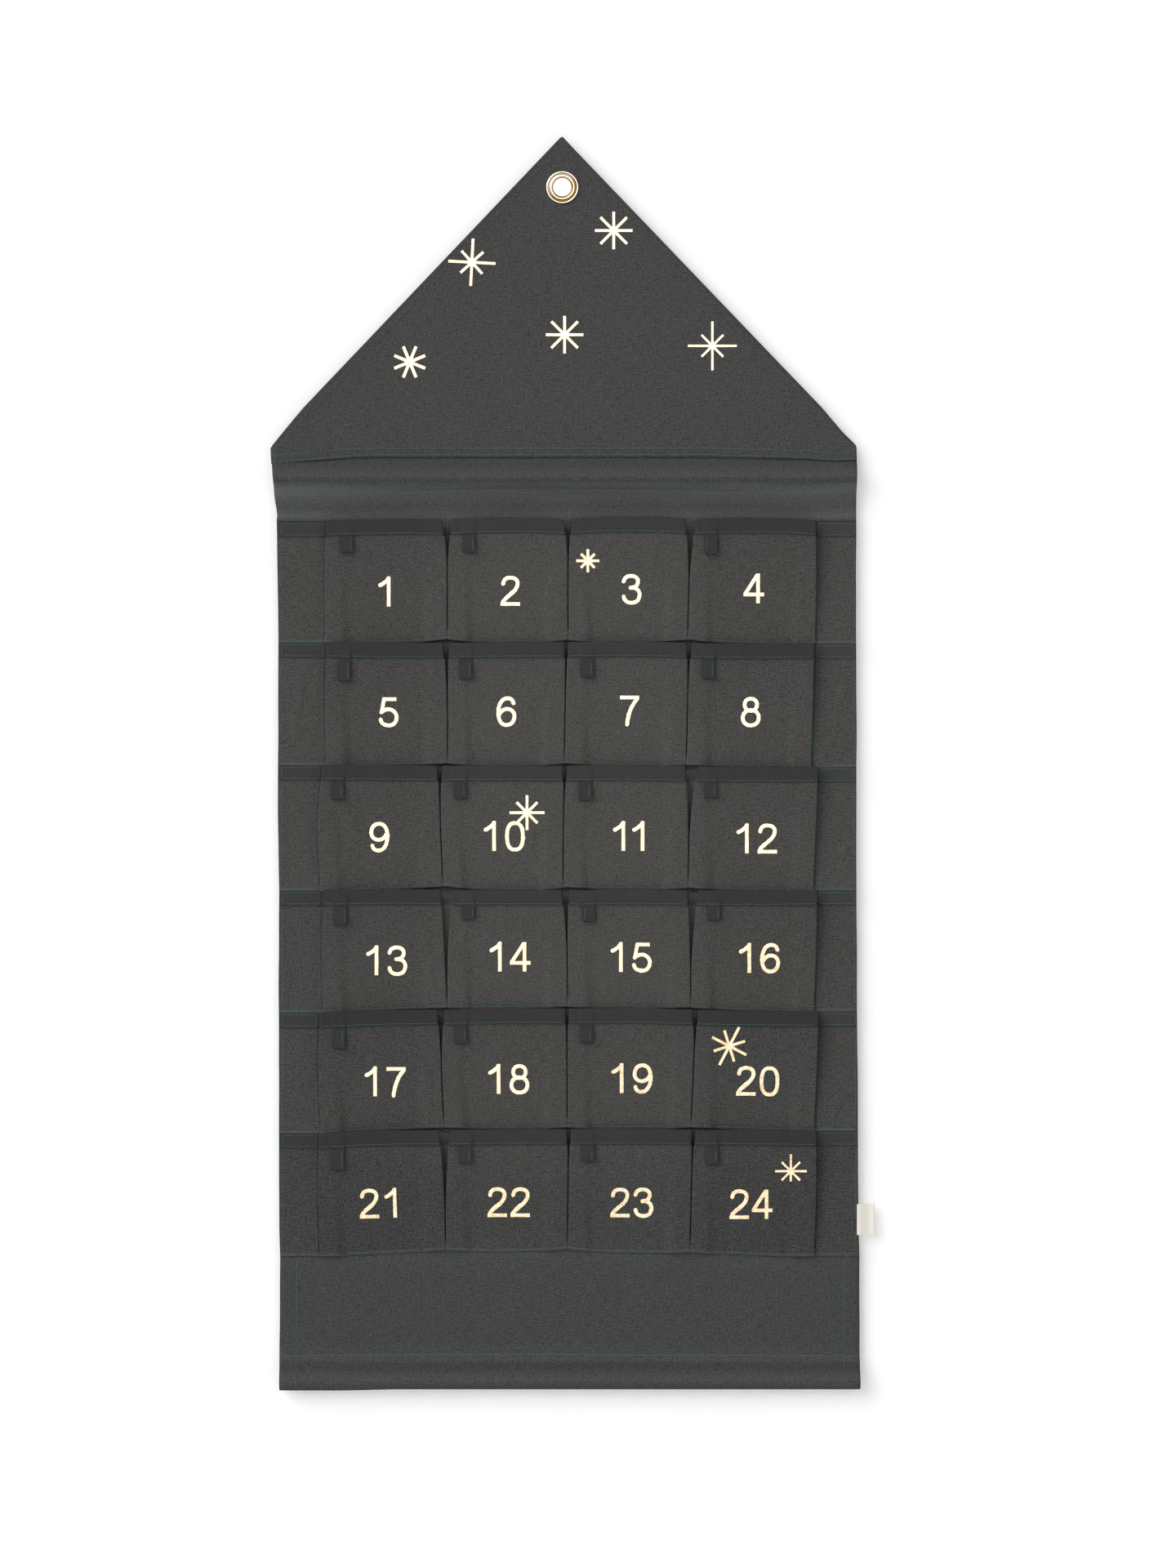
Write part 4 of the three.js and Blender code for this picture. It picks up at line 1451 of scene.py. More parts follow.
@dataclass
class Dowel:
    """Wooden stick in a tunnel."""

    finish: Finish
    sides: int = 56
    bevel: float = 0.8

    def make(self, body: str) -> Piece:
        """Turns a stick as long and thick as its node.

        Args:
            body: Name of its body and node.

        Returns:
            The stick.
        """
        low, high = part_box(body)
        middle, radius = (low + high) / 2, (high.z - low.z) / 2
        shape = bmesh.new()
        lie = Matrix.Translation(middle) @ Matrix.Rotation(math.pi / 2, 4, "Y")
        bmesh.ops.create_cone(shape, cap_ends=True, segments=self.sides, radius1=radius, radius2=radius,
                              depth=high.x - low.x, matrix=lie)
        rims = [edge for edge in shape.edges if len(edge.link_faces) == 2
                and sorted(len(face.verts) for face in edge.link_faces)[1] > 4]
        bmesh.ops.bevel(shape, geom=rims, offset=self.bevel * MM, offset_type="OFFSET", segments=4,
                        profile=0.5, affect="EDGES", material=-1, clamp_overlap=True)
        return dress(settle(to_object(shape, f"{body}_stick", [self.finish])), body, body)


@dataclass(frozen=True)
class Row:
    """One row of a pocket strip's sheet.

    Attributes:
        share: Its share of the strip's height.
        rise: How far it is above the lower edge or, where that is negative, below the mouth.
        lift: How far it is lifted off the section.
        run: Its run in the flat cloth.
        part: What it is part of.
    """

    share: float
    rise: float
    lift: float
    run: float
    part: Part


@dataclass
class PocketStrip:
    """One strip of four pleated pockets between two flat wings.

    Attributes:
        row: Its place from the top, from 1.
        mouth: Nominal level of its mouth.
        seams: How far its five pleat seams stand off their nominal places, each at the mouth, at
            seam_bend of the height and at the lower edge.
        gapes: How far the folds left and right of each seam stand back from it at the mouth, and
            how far down they close.
        top: Levels of its mouth over the seams and in the pockets' middles, off the nominal one.
        bottom: The same for its lower edge.
        above: The strip that laps over its mouth, if there is one.
        fade: How much paler the pockets are, as (share of the height, strength).
        wing_fade: How much paler the wings are.
        dark_points: Points of a pleat, from its seam, that no light reaches.
        lit_points: Points of it that a wide gape lets light in to.
    """

    row: int
    mouth: float
    finishes: Sequence[Finish]
    panel: BackPanel
    seams: Sequence[Trio]
    gapes: Sequence[Trio]
    bottom: Scallops
    top: Optional[Scallops] = None
    above: Optional["PocketStrip"] = None
    creases: Sequence[Crease] = ()
    thick: float = 0.8
    height: float = 92.8
    plane_y: float = -2.3
    mouth_stand: float = 9.24
    pleat_depth: float = 12.0
    turn: float = 0.575
    layer: float = 0.95
    band: float = 12.0
    turn_in: float = 8.0
    wing_inset: float = 0.6
    wing_gap: float = 0.35
    slit: float = 0.32
    gape_power: float = 1.6
    belly: float = 0.25
    settle_width: float = 8.0
    front_columns: int = 66
    wing_columns: int = 15
    dark_points: int = 17
    lit_points: int = 3
    tape_bulge: float = 1.1
    lap_gap: float = -0.75
    edge_fall: float = 0.9
    fade: Line = ((0, 0), (1, 0))
    side_fade: float = -0.45
    plain_from: float = 8.5
    hem_room: float = 15.5
    hem_stitch: float = 10.7
    flat_pitch: float = 130.0
    wing_fade: float = -0.22
    # How much paler the left and right wings' hem bands are made.
    wing_hem_rub: Point = (0.6, 1.0)
    # Painted light on the lower fold's edge.
    edge_rub: float = 2.2
    # Painted light inside gaping pleats.
    inner_glow: float = 4.0
    seam_bend: float = 0.6
    nominal_seams: Floats = (-185.2, -89.42, 3.79, 99.19, 196.4)

    def lower_edge(self, x: Array) -> Array:
        """Level of the lower edge."""
        return self.mouth - self.height - self.edge_fall + self._scallops(x, *self.bottom, 3.0)

    def upper_edge(self, x: Array) -> Array:
        """Level of the mouth, just under the strip above.

        Args:
            x: Places across.

        Returns:
            The levels.
        """
        if self.above is None:
            return self.mouth + self._scallops(x, *self.top, 3.0)
        seams, middles = self.above.bottom
        ends = [seams[0], *((a + b) / 2 - 0.2 for a, b in zip(middles, middles[1:])), seams[-1]]
        level = self.above.mouth - self.height - self.edge_fall - self.lap_gap
        return level + self._scallops(x, ends, middles, 2.0)

    def _scallops(self, x: Array, seams: Floats, middles: Floats, power: float) -> Array:
        """A line through its values at the seams that swings to its values between them.

        Args:
            x: Places across.
            seams: Values at the five seams.
            middles: Values in the pockets' middles.
            power: How flat a swing's middle is.

        Returns:
            The values.
        """
        level = np.interp(x, self.nominal_seams, seams)
        for index, middle in enumerate(middles):
            left, right = self.nominal_seams[index], self.nominal_seams[index + 1]
            share = (x - left) / (right - left)
            swing = middle - (seams[index] + seams[index + 1]) / 2
            inside = (share > 0) & (share < 1)
            level = level + np.where(inside, swing * (1 - np.abs(2 * np.clip(share, 0, 1) - 1) ** power), 0.0)
        return level

    def seam_at(self, index: int, share: float) -> float:
        """Place of a pleat seam at a share of the height.

        Args:
            index: Which seam, from 0.
            share: The share.

        Returns:
            The place across.
        """
        upper, middle, lower = self.seams[index]
        bend = self.seam_bend
        curve = (lower * (share - bend) * (share - 1) / bend
                 + middle * share * (1 - share) / (bend * (1 - bend))
                 + upper * share * (share - bend) / (1 - bend))
        return self.nominal_seams[index] + curve

    def _opening(self, index: int, side: int, share: float, banded: bool) -> float:
        """Distance from a seam to the outer face of the fold on its left (0) or right (1).

        Args:
            index: Which seam, from 0.
            side: Which fold.
            share: Share of the height.
            banded: Whether the hem lies in front there.

        Returns:
            The distance.
        """
        wide = self.gapes[index][side]
        open_part = max(0.0, 1 - self.height * (1 - share) / self.gapes[index][2])
        room = 0.0 if not banded else self.layer if 0 < index < 4 else 0.3
        return self.slit + wide * open_part ** self.gape_power + room

    def _pleat(self, opening: float, stand: float) -> Array:
        """Middle line from a seam round the hidden fold to the top of the visible fold.

        Args:
            opening: Distance from the seam to the visible fold.
            stand: How far the fronts stand off there.

        Returns:
            Points as (off the seam, off the panel).
        """
        rise = stand - 2 * self.turn
        visible = np.array([opening + self.thick / 2 + self.turn, stand - self.turn])
        run = math.sqrt(self.pleat_depth ** 2 - rise ** 2)
        hidden = np.array([visible[0] + run - self.turn - (opening - self.slit) / 2, self.turn])
        span = visible - hidden
        angle = math.atan2(span[1], span[0]) - math.acos(2 * self.turn / np.linalg.norm(span))
        line = [(hidden[0] * share, 0.0) for share in (0.0, 0.25, 0.65, 1.0)]
        line += arc(hidden, self.turn, evenly(-math.pi / 2, angle, 5)[1:])
        last = arc(visible, self.turn, evenly(angle + math.pi, math.pi / 2, 8))
        leave, reach = np.array(line[-1]), np.array(last[0])
        line += [leave + (reach - leave) * share for share in (0.3, 0.6, 0.85)]
        return np.array(line + last)

    def _lit(self, share: float) -> Array:
        """Painted light on each point of a section, where a wide gape lets light in to it.

        Args:
            share: Share of the height.

        Returns:
            From 0 to 1 for each point.
        """
        blank = [0.0] * self.wing_columns
        light = list(blank)
        for index in range(len(self.seams)):
            wide = [self._opening(index, side, share, False) - self.slit for side in (0, 1)]
            pale = [min(1.0, max(0.0, (width - 0.5) / 2.5)) for width in wide]
            if index:
                light += [0.0] * self.dark_points + [pale[0]] * self.lit_points
            light.append(max(pale))
            if index < 4:
                light += [pale[1]] * self.lit_points + [0.0] * (self.dark_points + self.front_columns)
        return np.array(light + blank)

    def _section(self, share: float, banded: bool) -> tuple[Array, Array]:
        """Middle line of the strip at one height.

        Args:
            share: The height, as a share of the strip's.
            banded: Whether the hem lies in front of it there.

        Returns:
            Points as (x, off the panel), and how much of a front each one is, from 0 hidden to 1.
        """
        fullness = share + self.belly * share * (1 - share)
        middle = self.mouth_stand * fullness
        stand = 4 * self.turn * (1 - fullness) + middle
        pleats = [[self._pleat(self._opening(index, side, share, banded), stand) for side in (0, 1)]
                  for index in range(5)]
        shown = np.array([0.0] * 12 + [0, 0, 0.1, 0.35, 0.7, 0.9, 1, 1, 1])
        edges = self._ends(self.mouth - self.height * (1 - share))
        starts = [self.seam_at(index, share) for index in range(5)]
        line, front = [], []
        wing = np.linspace(edges[0] + self.wing_inset, starts[0] - self.wing_gap, self.wing_columns)
        line += [(x, 0.0) for x in wing]
        front += [1.0] * len(wing)
        for index, seam in enumerate(starts):
            if index:
                line += [(seam - x, off) for x, off in pleats[index][0][:0:-1]]
                front += list(shown[:0:-1])
            line.append((seam, 0.0))
            front.append(0.0)
            if index == 4:
                break
            here, ahead = pleats[index][1], pleats[index + 1][0]
            line += [(seam + x, off) for x, off in here[1:]]
            front += list(shown[1:])
            left, right = seam + here[-1][0], starts[index + 1] - ahead[-1][0]
            t = np.linspace(0, 1, self.front_columns + 2)[1:-1]
            x = left + (right - left) * (0.7 * t + 0.15 * (1 - np.cos(math.pi * t)))
            beyond = np.minimum(x - seam - here[3][0], starts[index + 1] - x - ahead[3][0])
            flatten = ease(beyond / self.settle_width)
            line += list(zip(x, stand + (middle - stand) * flatten))
            front += [1.0] * len(x)
        wing = np.linspace(starts[4] + self.wing_gap, edges[1] - self.wing_inset, self.wing_columns)
        line += [(x, 0.0) for x in wing]
        front += [1.0] * len(wing)
        return np.array(line), np.array(front)

    def _ends(self, level: float) -> list[float]:
        """The panel's left and right edge at a level."""
        return [float(self.panel.edge(np.array([level]), side)[0]) for side in (-1, 1)]

    def _rows(self) -> list[Row]:
        """Rows of the sheet, from inside the turned-in edge up, over the mouth and down the hem.

        Returns:
            The rows.
        """
        high, half = self.height, self.layer / 2
        top = self.thick / 2 + half
        rows = [Row(0.0, inset, 0.0, -inset, Part.TURNED) for inset in (self.turn_in, 5.0, 2.4)]
        for angle in map(math.radians, (0, 40, 80, 120, 160)):
            lift = half * (1 - math.cos(angle))
            rows.append(Row(0.0, top - half * math.sin(angle), lift, 0.0, Part.TURNED))
        for rise in (top, 1.35, 2.0, 2.7, 4.0, 6.0, self.plain_from):
            lift = self.layer * (1 - float(ease((rise - 2.6) / 8.0)))
            rows.append(Row(rise / high, rise, lift, rise, Part.FRONT))
        for rise in np.linspace(self.plain_from, high - self.hem_room, 25)[1:]:
            rows.append(Row(rise / high, float(rise), 0.0, float(rise), Part.FRONT))
        for fall in (13.6, 12.7, 11.8, 10.2, 7.6, 5.0, 2.6):
            rows.append(Row(1 - fall / high, -fall, 0.0, high - fall, Part.UNDER))
        for angle in map(math.radians, (0, 45, 90, 135, 180)):
            lift = half * (1 - math.cos(angle))
            rows.append(Row(1 - top / high, -top + half * math.sin(angle), lift, high, Part.OVER))
        for fall in (1.6, 3.2, 5.0, 6.8, 8.6, 10.0, self.hem_stitch, 11.2, self.band):
            rows.append(Row(1 - fall / high, -fall, self.layer, high + fall, Part.HEM))
        return rows

    def _tapes(self) -> list[Point]:
        """Left and right edge of each tape loop that hangs under this strip's hem.

        Returns:
            Pairs of places across.
        """
        found = []
        for column in range(4):
            node = f"tape_loop_{self.row * 4 - 3 + column:02d}"
            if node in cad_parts:
                low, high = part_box(node)
                found.append((low.x / MM, high.x / MM))
        return found

    def make(self) -> Piece:
        """Builds the strip.

        Returns:
            The cloth.
        """
        rows = self._rows()
        sections = {}
        lines, fronts = [], []
        for row in rows:
            key = (round(row.share, 5), row.part in (Part.UNDER, Part.OVER, Part.HEM) and row.rise > -12.3)
            if key not in sections:
                sections[key] = self._section(*key)
            line, front = sections[key]
            run = np.gradient(line, axis=0)
            run /= np.maximum(np.linalg.norm(run, axis=1), 1e-9)[:, None]
            out = np.stack([-run[:, 1], run[:, 0]], axis=1)
            lines.append(line + out * (row.lift * front)[:, None])
            fronts.append(front)
        x, stand = np.moveaxis(np.array(lines), 2, 0)
        front = np.array(fronts)
        shares = np.array([row.share for row in rows])
        rises = np.array([row.rise for row in rows])
        low, high = self.lower_edge(x), self.upper_edge(x)
        nominal = self.mouth - self.height
        levels = np.where(rises > 0, rises, self.height + rises)
        mix = along(levels, ((self.plain_from, 0.0), (self.height - self.hem_room, 1.0)))
        z = levels[:, None] + nominal
        z = z + (low - nominal) * (1 - mix[:, None]) + (high - self.mouth) * mix[:, None]
        dip = unevenness(x, np.full_like(x, self.row * 40.0), 30.0, 7.7)
        z = z + dip * 0.35 * ((mix[:, None] == 0) | (mix[:, None] == 1))
        wing = (x < self.seam_at(0, 1) - 2) | (x > self.seam_at(4, 1) + 2)
        seed = self.row * 5.3
        soft = unevenness(x, z, 30.0, seed, 1.3) * 0.7 + unevenness(x, z, 11.0, seed + 2, 1.5) * 0.35
        depth = np.where(wing, 0.10, 0.25 + 0.55 * shares[:, None])
        bulge = depth * along(rises, ((0, 0.3), (12, 1)))[:, None] * soft * front
        for crease in self.creases:
            bulge = bulge + crease.rise(x, z) * front
        fall = np.where(rises > 0, 99.0, -rises)[:, None]
        held = along(np.ravel(fall), ((0, 0.35), (6, 0.55), (8.5, 1), (12.6, 1), (13, 0)))[:, None]
        banded = np.array([row.part is Part.HEM for row in rows])[:, None]
        for left, right in self._tapes():
            over = ease((x - left + 1.0) / 1.5) * ease((right + 1.0 - x) / 1.5)
            bulge = bulge + self.tape_bulge * over * held * banded
        sewn = banded * ((fall > 10.4) & (fall < 11.0))
        bulge = bulge - 0.16 * sewn * front
        points = np.stack([x, self.plane_y - stand - bulge, z], axis=2)
        middle = sections[min(sections, key=lambda key: abs(key[0] - 0.5))][0]
        flat = np.zeros((*x.shape, 2))
        flat[:, :, 0] = run_along(middle)
        flat[:, :, 1] = np.array([row.run for row in rows])[:, None] + self.row * self.flat_pitch
        shown = np.minimum(front[:, :-1], front[:, 1:])
        shown = np.minimum(shown[:-1], shown[1:])
        folded = [row.part in (Part.TURNED, Part.OVER, Part.HEM) for row in rows]
        keep = ~np.array([here or ahead for here, ahead in zip(folded, folded[1:])])[:, None] | (shown > 0.3)
        turned = np.zeros_like(keep)
        for index, (here, ahead) in enumerate(zip(rows, rows[1:])):
            inside = here.part is Part.UNDER and here.rise >= -11.8
            turned[index] = inside or ahead.part in (Part.OVER, Part.HEM)
        worn = self.side_fade * ease((np.abs(x - self.nominal_seams[2]) - 70) / 60) * ~wing
        worn = worn + np.where(wing, self.wing_fade, along(shares, self.fade)[:, None])
        # The wings' hem bands are made paler, the right wing's more than the left's.
        worn = worn + np.where(x < self.seam_at(2, 1), *self.wing_hem_rub) * wing * banded
        # Painted light on the lower fold's rounded edge, which faces down into shade, and on the cloth just
        # above it.
        worn[5:9] += self.edge_rub
        worn[9:11] += 0.5
        # Painted light inside the pleats where they gape open.
        worn = worn + self.inner_glow * np.array([self._lit(share) for share in shares])
        # Painted highlight on the rounded edges of the visible pleat folds.
        worn = worn + np.clip(1 - np.abs(front - 0.7) * 4, 0, 1) * 0.4
        node = f"pocket_strip_{self.row}"
        piece = Sheet(points, flat, self.thick, keep, turned, worn).make(f"{node}_cloth", self.finishes)
        dress(piece, node)
        return piece

    def _under_mouth(self, x: float, fall: float) -> Point:
        """The place that far under the mouth."""
        return x, float(self.upper_edge(np.array([x]))[0]) - fall

    def stitches(self) -> list[SeamRow]:
        """Rows of stitches of the hem, the lower edge, the wings and the pleat seams.

        Returns:
            The rows.
        """
        rows = []
        near = 1 - self.band / self.height
        starts = [self.seam_at(index, near) for index in range(5)]
        for left, right in zip(starts, starts[1:]):
            across = np.linspace(left + 2.0, right - 2.0, 12)
            rows.append(SeamRow([self._under_mouth(x, self.hem_stitch) for x in across]))
        edges = self._ends(self.mouth - 50)
        ends = [(edges[0] + 2.8, starts[0] - 2.4), (starts[4] + 1.8, edges[1] - 2.0)]
        for side, (first, last) in enumerate(ends):
            for fall in (2.0, self.hem_stitch):
                rows.append(SeamRow([self._under_mouth(x, fall) for x in (first, last)]))
            outer, shift, index = (last, 1.8, 4) if side else (first, -2.4, 0)
            rows.append(SeamRow([self._under_mouth(outer, 2.5), (outer, self.mouth - self.height + 1.0)]))
            inner = [(self.seam_at(index, share) + shift, self.mouth - self.height * (1 - share))
                     for share in (0.97, 0.8, 0.6, 0.4, 0.2, 0.01)]
            rows.append(SeamRow(inner))
        across = np.linspace(edges[0] + 1.5, edges[1] - 1.5, 90)
        rows.append(SeamRow(raised(across, self.lower_edge(across), 2.0)))
        for index in range(1, 4):
            top = self.mouth + (6.2 if self.above is None else 2.0)
            line = [(self.seam_at(index, 1 - fall / self.height), self.mouth - fall)
                    for fall in (0, 16, 32, 48, 64)]
            rows.append(SeamRow([(line[0][0], top), *line], deepest=-3.6))
        return rows

    def back_stitches(self) -> list[SeamRow]:
        """Rows that show through on the panel's back.

        Returns:
            The rows.
        """
        across = np.linspace(-216.0, 226.0, 60)
        rows = [SeamRow(raised(across, self.lower_edge(across), 2.0), Side.BACK)]
        for index in range(5):
            line = [(self.seam_at(index, 1), self.mouth + 2.0), (self.seam_at(index, 0), self.mouth - 89.0)]
            rows.append(SeamRow(line, Side.BACK))
        return rows


@dataclass
class TapeLoop:
    """Folded tape whose ends are caught under a pocket's hem."""

    node: str
    finish: Finish
    seam_share: float = 0.8
    thick: float = 0.5
    caught: float = 4.2
    back_y: float = 0.3
    top_y: float = -0.3
    fold_y: float = -0.45
    fold_radius: float = 0.74
    columns: int = 9

    def __post_init__(self) -> None:
        """Takes the loop's place from its node."""
        low, high = (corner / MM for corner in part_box(self.node))
        self.left, self.right = low.x, high.x
        self.root_y, self.root_z = high.y - 0.55, high.z - 0.55
        self.drop = self.root_z - low.z

    def make(self) -> Piece:
        """Builds the loop.

        Returns:
            The tape.
        """
        fold = 1.0 - self.drop
        back = [(self.back_y, level) for level in evenly(self.caught, fold, 13)]
        bottom = arc((self.fold_y, fold), self.fold_radius, evenly(0.0, -math.pi, 9)[1:])
        last_y, rise = bottom[-1][0], np.arange(1, 13) / 12
        front = zip(last_y + (self.top_y - last_y) * ease(rise * 1.15), fold + (self.caught - fold) * rise)
        path = np.array([*back, *bottom, *front])
        across = np.linspace(self.thick * 0.1, self.right - self.left - self.thick * 0.1, self.columns)
        x = self.left + np.tile(across, (len(path), 1))
        y = self.root_y + np.tile(path[:, :1], (1, self.columns))
        z = self.root_z + np.tile(path[:, 1:], (1, self.columns))
        seed = self.left * 0.37 + self.root_z
        hang = np.clip(-(z - self.root_z) / 12, 0, 1)
        x = x + unevenness(x * 0, z, 9.0, seed) * 0.5 * hang
        y = y - unevenness(x, z, 8.0, seed + 4) * 0.22 * hang
        z = z + (x - self.left - 5) * noise.noise((seed, 1.0, 2.0)) * 0.09 * hang
        run = np.tile(run_along(path)[:, None], (1, self.columns))
        flat = np.stack([np.tile(across, (len(path), 1)), run], axis=2)
        name = self.node.replace("tape_loop", "tape")
        piece = Sheet(np.stack([x, y, z], axis=2), flat, self.thick).make(name, [self.finish])
        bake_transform(piece)
        dress(piece, self.node, None)
        return piece

    def sew(self, thread: Thread, piece: Piece) -> Piece:
        """Sews the row down the loop.

        Args:
            thread: The thread.
            piece: The loop's tape.

        Returns:
            The stitches.
        """
        x = self.left + (self.right - self.left) * self.seam_share
        line = [(x, self.root_z - 2.5), (x + 0.2, self.root_z - self.drop + 1.8)]
        stitches = thread.sew(self.node.replace("tape_loop", "tape_stitches"), [SeamRow(line, pitch=1.7)],
                              tree_of(piece))
        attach(stitches, self.node)
        return stitches


@dataclass
class SideLabel:
    """Folded ribbon sewn in at the right edge, left bare."""

    finish: Finish
    node: str = "side_label"
    thick: float = 0.34
    gap: float = 0.42
    lap: float = 2.4
    stand: float = 2.9
    columns: int = 12

    def make(self) -> Piece:
        """Builds the label with its front layer lapping over the cloth's edge.

        Returns:
            The ribbon.
        """
        low, high = (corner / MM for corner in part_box(self.node))
        middle = (low.y + high.y) / 2
        half = self.gap / 2
        reach = high.x - 0.1
        back = [(x, middle + half) for x in np.linspace(low.x + 0.2, reach - half, 9)]
        fold = arc((reach - half, middle), half, evenly(math.pi / 2, -math.pi / 2, 6)[1:-1])
        lapped = np.linspace(reach - half, low.x - self.lap, 16)
        front = zip(lapped, middle - half - self.stand * ease((low.x + 10.0 - lapped) / 11.5))
        path = np.array([*back, *fold, *front])
        level = np.linspace(low.z + 0.15, high.z - 0.15, self.columns)
        x = np.tile(path[:, :1], (1, self.columns))
        y = np.tile(path[:, 1:], (1, self.columns))
        z = np.tile(level, (len(path), 1))
        out = np.clip((x - low.x - 1.0) / 9.0, 0, 1)
        y = y - 1.5 * out ** 2 - unevenness(x, z, 9.0, 5.5) * 0.12 * out
        z = z + unevenness(x, z * 0 + 3, 7.0, 1.1) * 0.2 + out * 0.3
        flat = np.stack([z, np.tile(run_along(path)[:, None], (1, self.columns))], axis=2)
        piece = Sheet(np.stack([x, y, z], axis=2), flat, self.thick).make("side_label_ribbon", [self.finish])
        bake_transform(piece)
        dress(piece, self.node, None)
        return piece


@dataclass(frozen=True)
class Star:
    """Eight-rayed star, in millimetres and degrees.

    Attributes:
        name: Short name of the star.
        middle: Its place.
        rays: Lengths of the rays, from the one to the right round to the left.
        width: Width of a ray.
        turn: How far the star is turned to the left.
        wear: How well the foil took.
        spread: How wide the foil took, as a share of the ray's width.
    """

    name: str
    middle: Point
    rays: Floats
    width: float
    turn: float = 0.0
    wear: Print = Print.BRIGHT
    spread: float = 0.88

    def strokes(self) -> list[tuple[list[Point], float]]:
        """Middle lines of the rays, each with half its width.

        Returns:
            The lines and half widths.
        """
        made = []
        for index, ray in enumerate(self.rays):
            angle = math.radians(self.turn + 45.0 * index)
            tip = (self.middle[0] + ray * math.cos(angle), self.middle[1] + ray * math.sin(angle))
            heel = (self.middle[0] - 0.5 * math.cos(angle), self.middle[1] - 0.5 * math.sin(angle))
            made.append(([heel, tip], self.width * self.spread / 2))
        return made


@dataclass
class Prints:
    """All the foil numbers and stars."""

    bright: Foil
    worn: Foil
    glyphs: Glyphs = field(default_factory=Glyphs)
    numbers: Line = (
        (-142.9, -325.1), (-47.9, -324.5), (46, -323.2), (140.4, -322.6),
        (-142.3, -418.3), (-51, -418), (44.7, -417), (138.5, -418.3),
        (-149.3, -515.3), (-61.2, -514.6), (39, -514.6), (134.7, -516.5),
        (-152.4, -610.9), (-56.7, -608.1), (37.1, -608.4), (136.6, -609.1),
        (-153.4, -704.8), (-57.7, -702.9), (37.7, -702.3), (134.7, -704.2),
        (-156.9, -799.6), (-58, -798.3), (37.1, -798.6), (129.6, -799.9),
    )
    tilts: Sequence[tuple[int, float]] = ((21, 1.5), (9, 0.6), (13, -0.4), (20, -0.6))
    first_worn: int = 19
    also_worn: Sequence[int] = (16,)
    stars: Sequence[Star] = (
        Star("a", (39.9, -33.5), (14.6,) * 8, 2.55),
        Star("b", (-70.1, -58.1), (18.4, 12.0) * 4, 2.55, -3.0),
        Star("c", (1.8, -114.3), (14.6,) * 8, 2.55),
        Star("d", (116.4, -122.9), (19.0, 12.0) * 4, 2.15),
        Star("e", (-118.3, -135.4), (13.0,) * 8, 2.8, 22.5),
        Star("f", (19.8, -289.8), (9.0, 7.6) * 4, 2.55, 0.0, Print.WORN),
        Star("g", (-27.3, -484.9), (13.6, 11.5) * 4, 2.6),
        Star("h", (129.4, -665.7), (12.8, 16.7, 12.8, 15.0, 12.8, 16.7, 12.8, 15.0), 2.55, 17.5, Print.WORN),
        Star("i", (177.1, -762.6), (12.3, 10.1, 13.2, 10.1, 12.3, 10.1, 7.9, 10.1), 2.1, 0.0, Print.WORN),
    )

    def make(self, cloth: BVHTree) -> list[Piece]:
        """Presses every number and star on the cloth.

        Args:
            cloth: Search tree of the cloth that carries them.

        Returns:
            The prints.
        """
        pieces, tilts = [], dict(self.tilts)
        half = self.glyphs.half * self.glyphs.unit
        for index, (left, base) in enumerate(self.numbers):
            number = index + 1
            worn = number >= self.first_worn or number in self.also_worn
            lines = self.glyphs.number(str(number), left, base, tilts.get(number, 0.0))
            foil = self.worn if worn else self.bright
            pieces.append(foil.press(f"number_{number:02d}", [(line, half) for line in lines], cloth))
        for star in self.stars:
            foil = self.worn if star.wear is Print.WORN else self.bright
            pieces.append(foil.press(f"star_{star.name}", star.strokes(), cloth))
        for piece in pieces:
            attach(piece, CALENDAR)
        return pieces


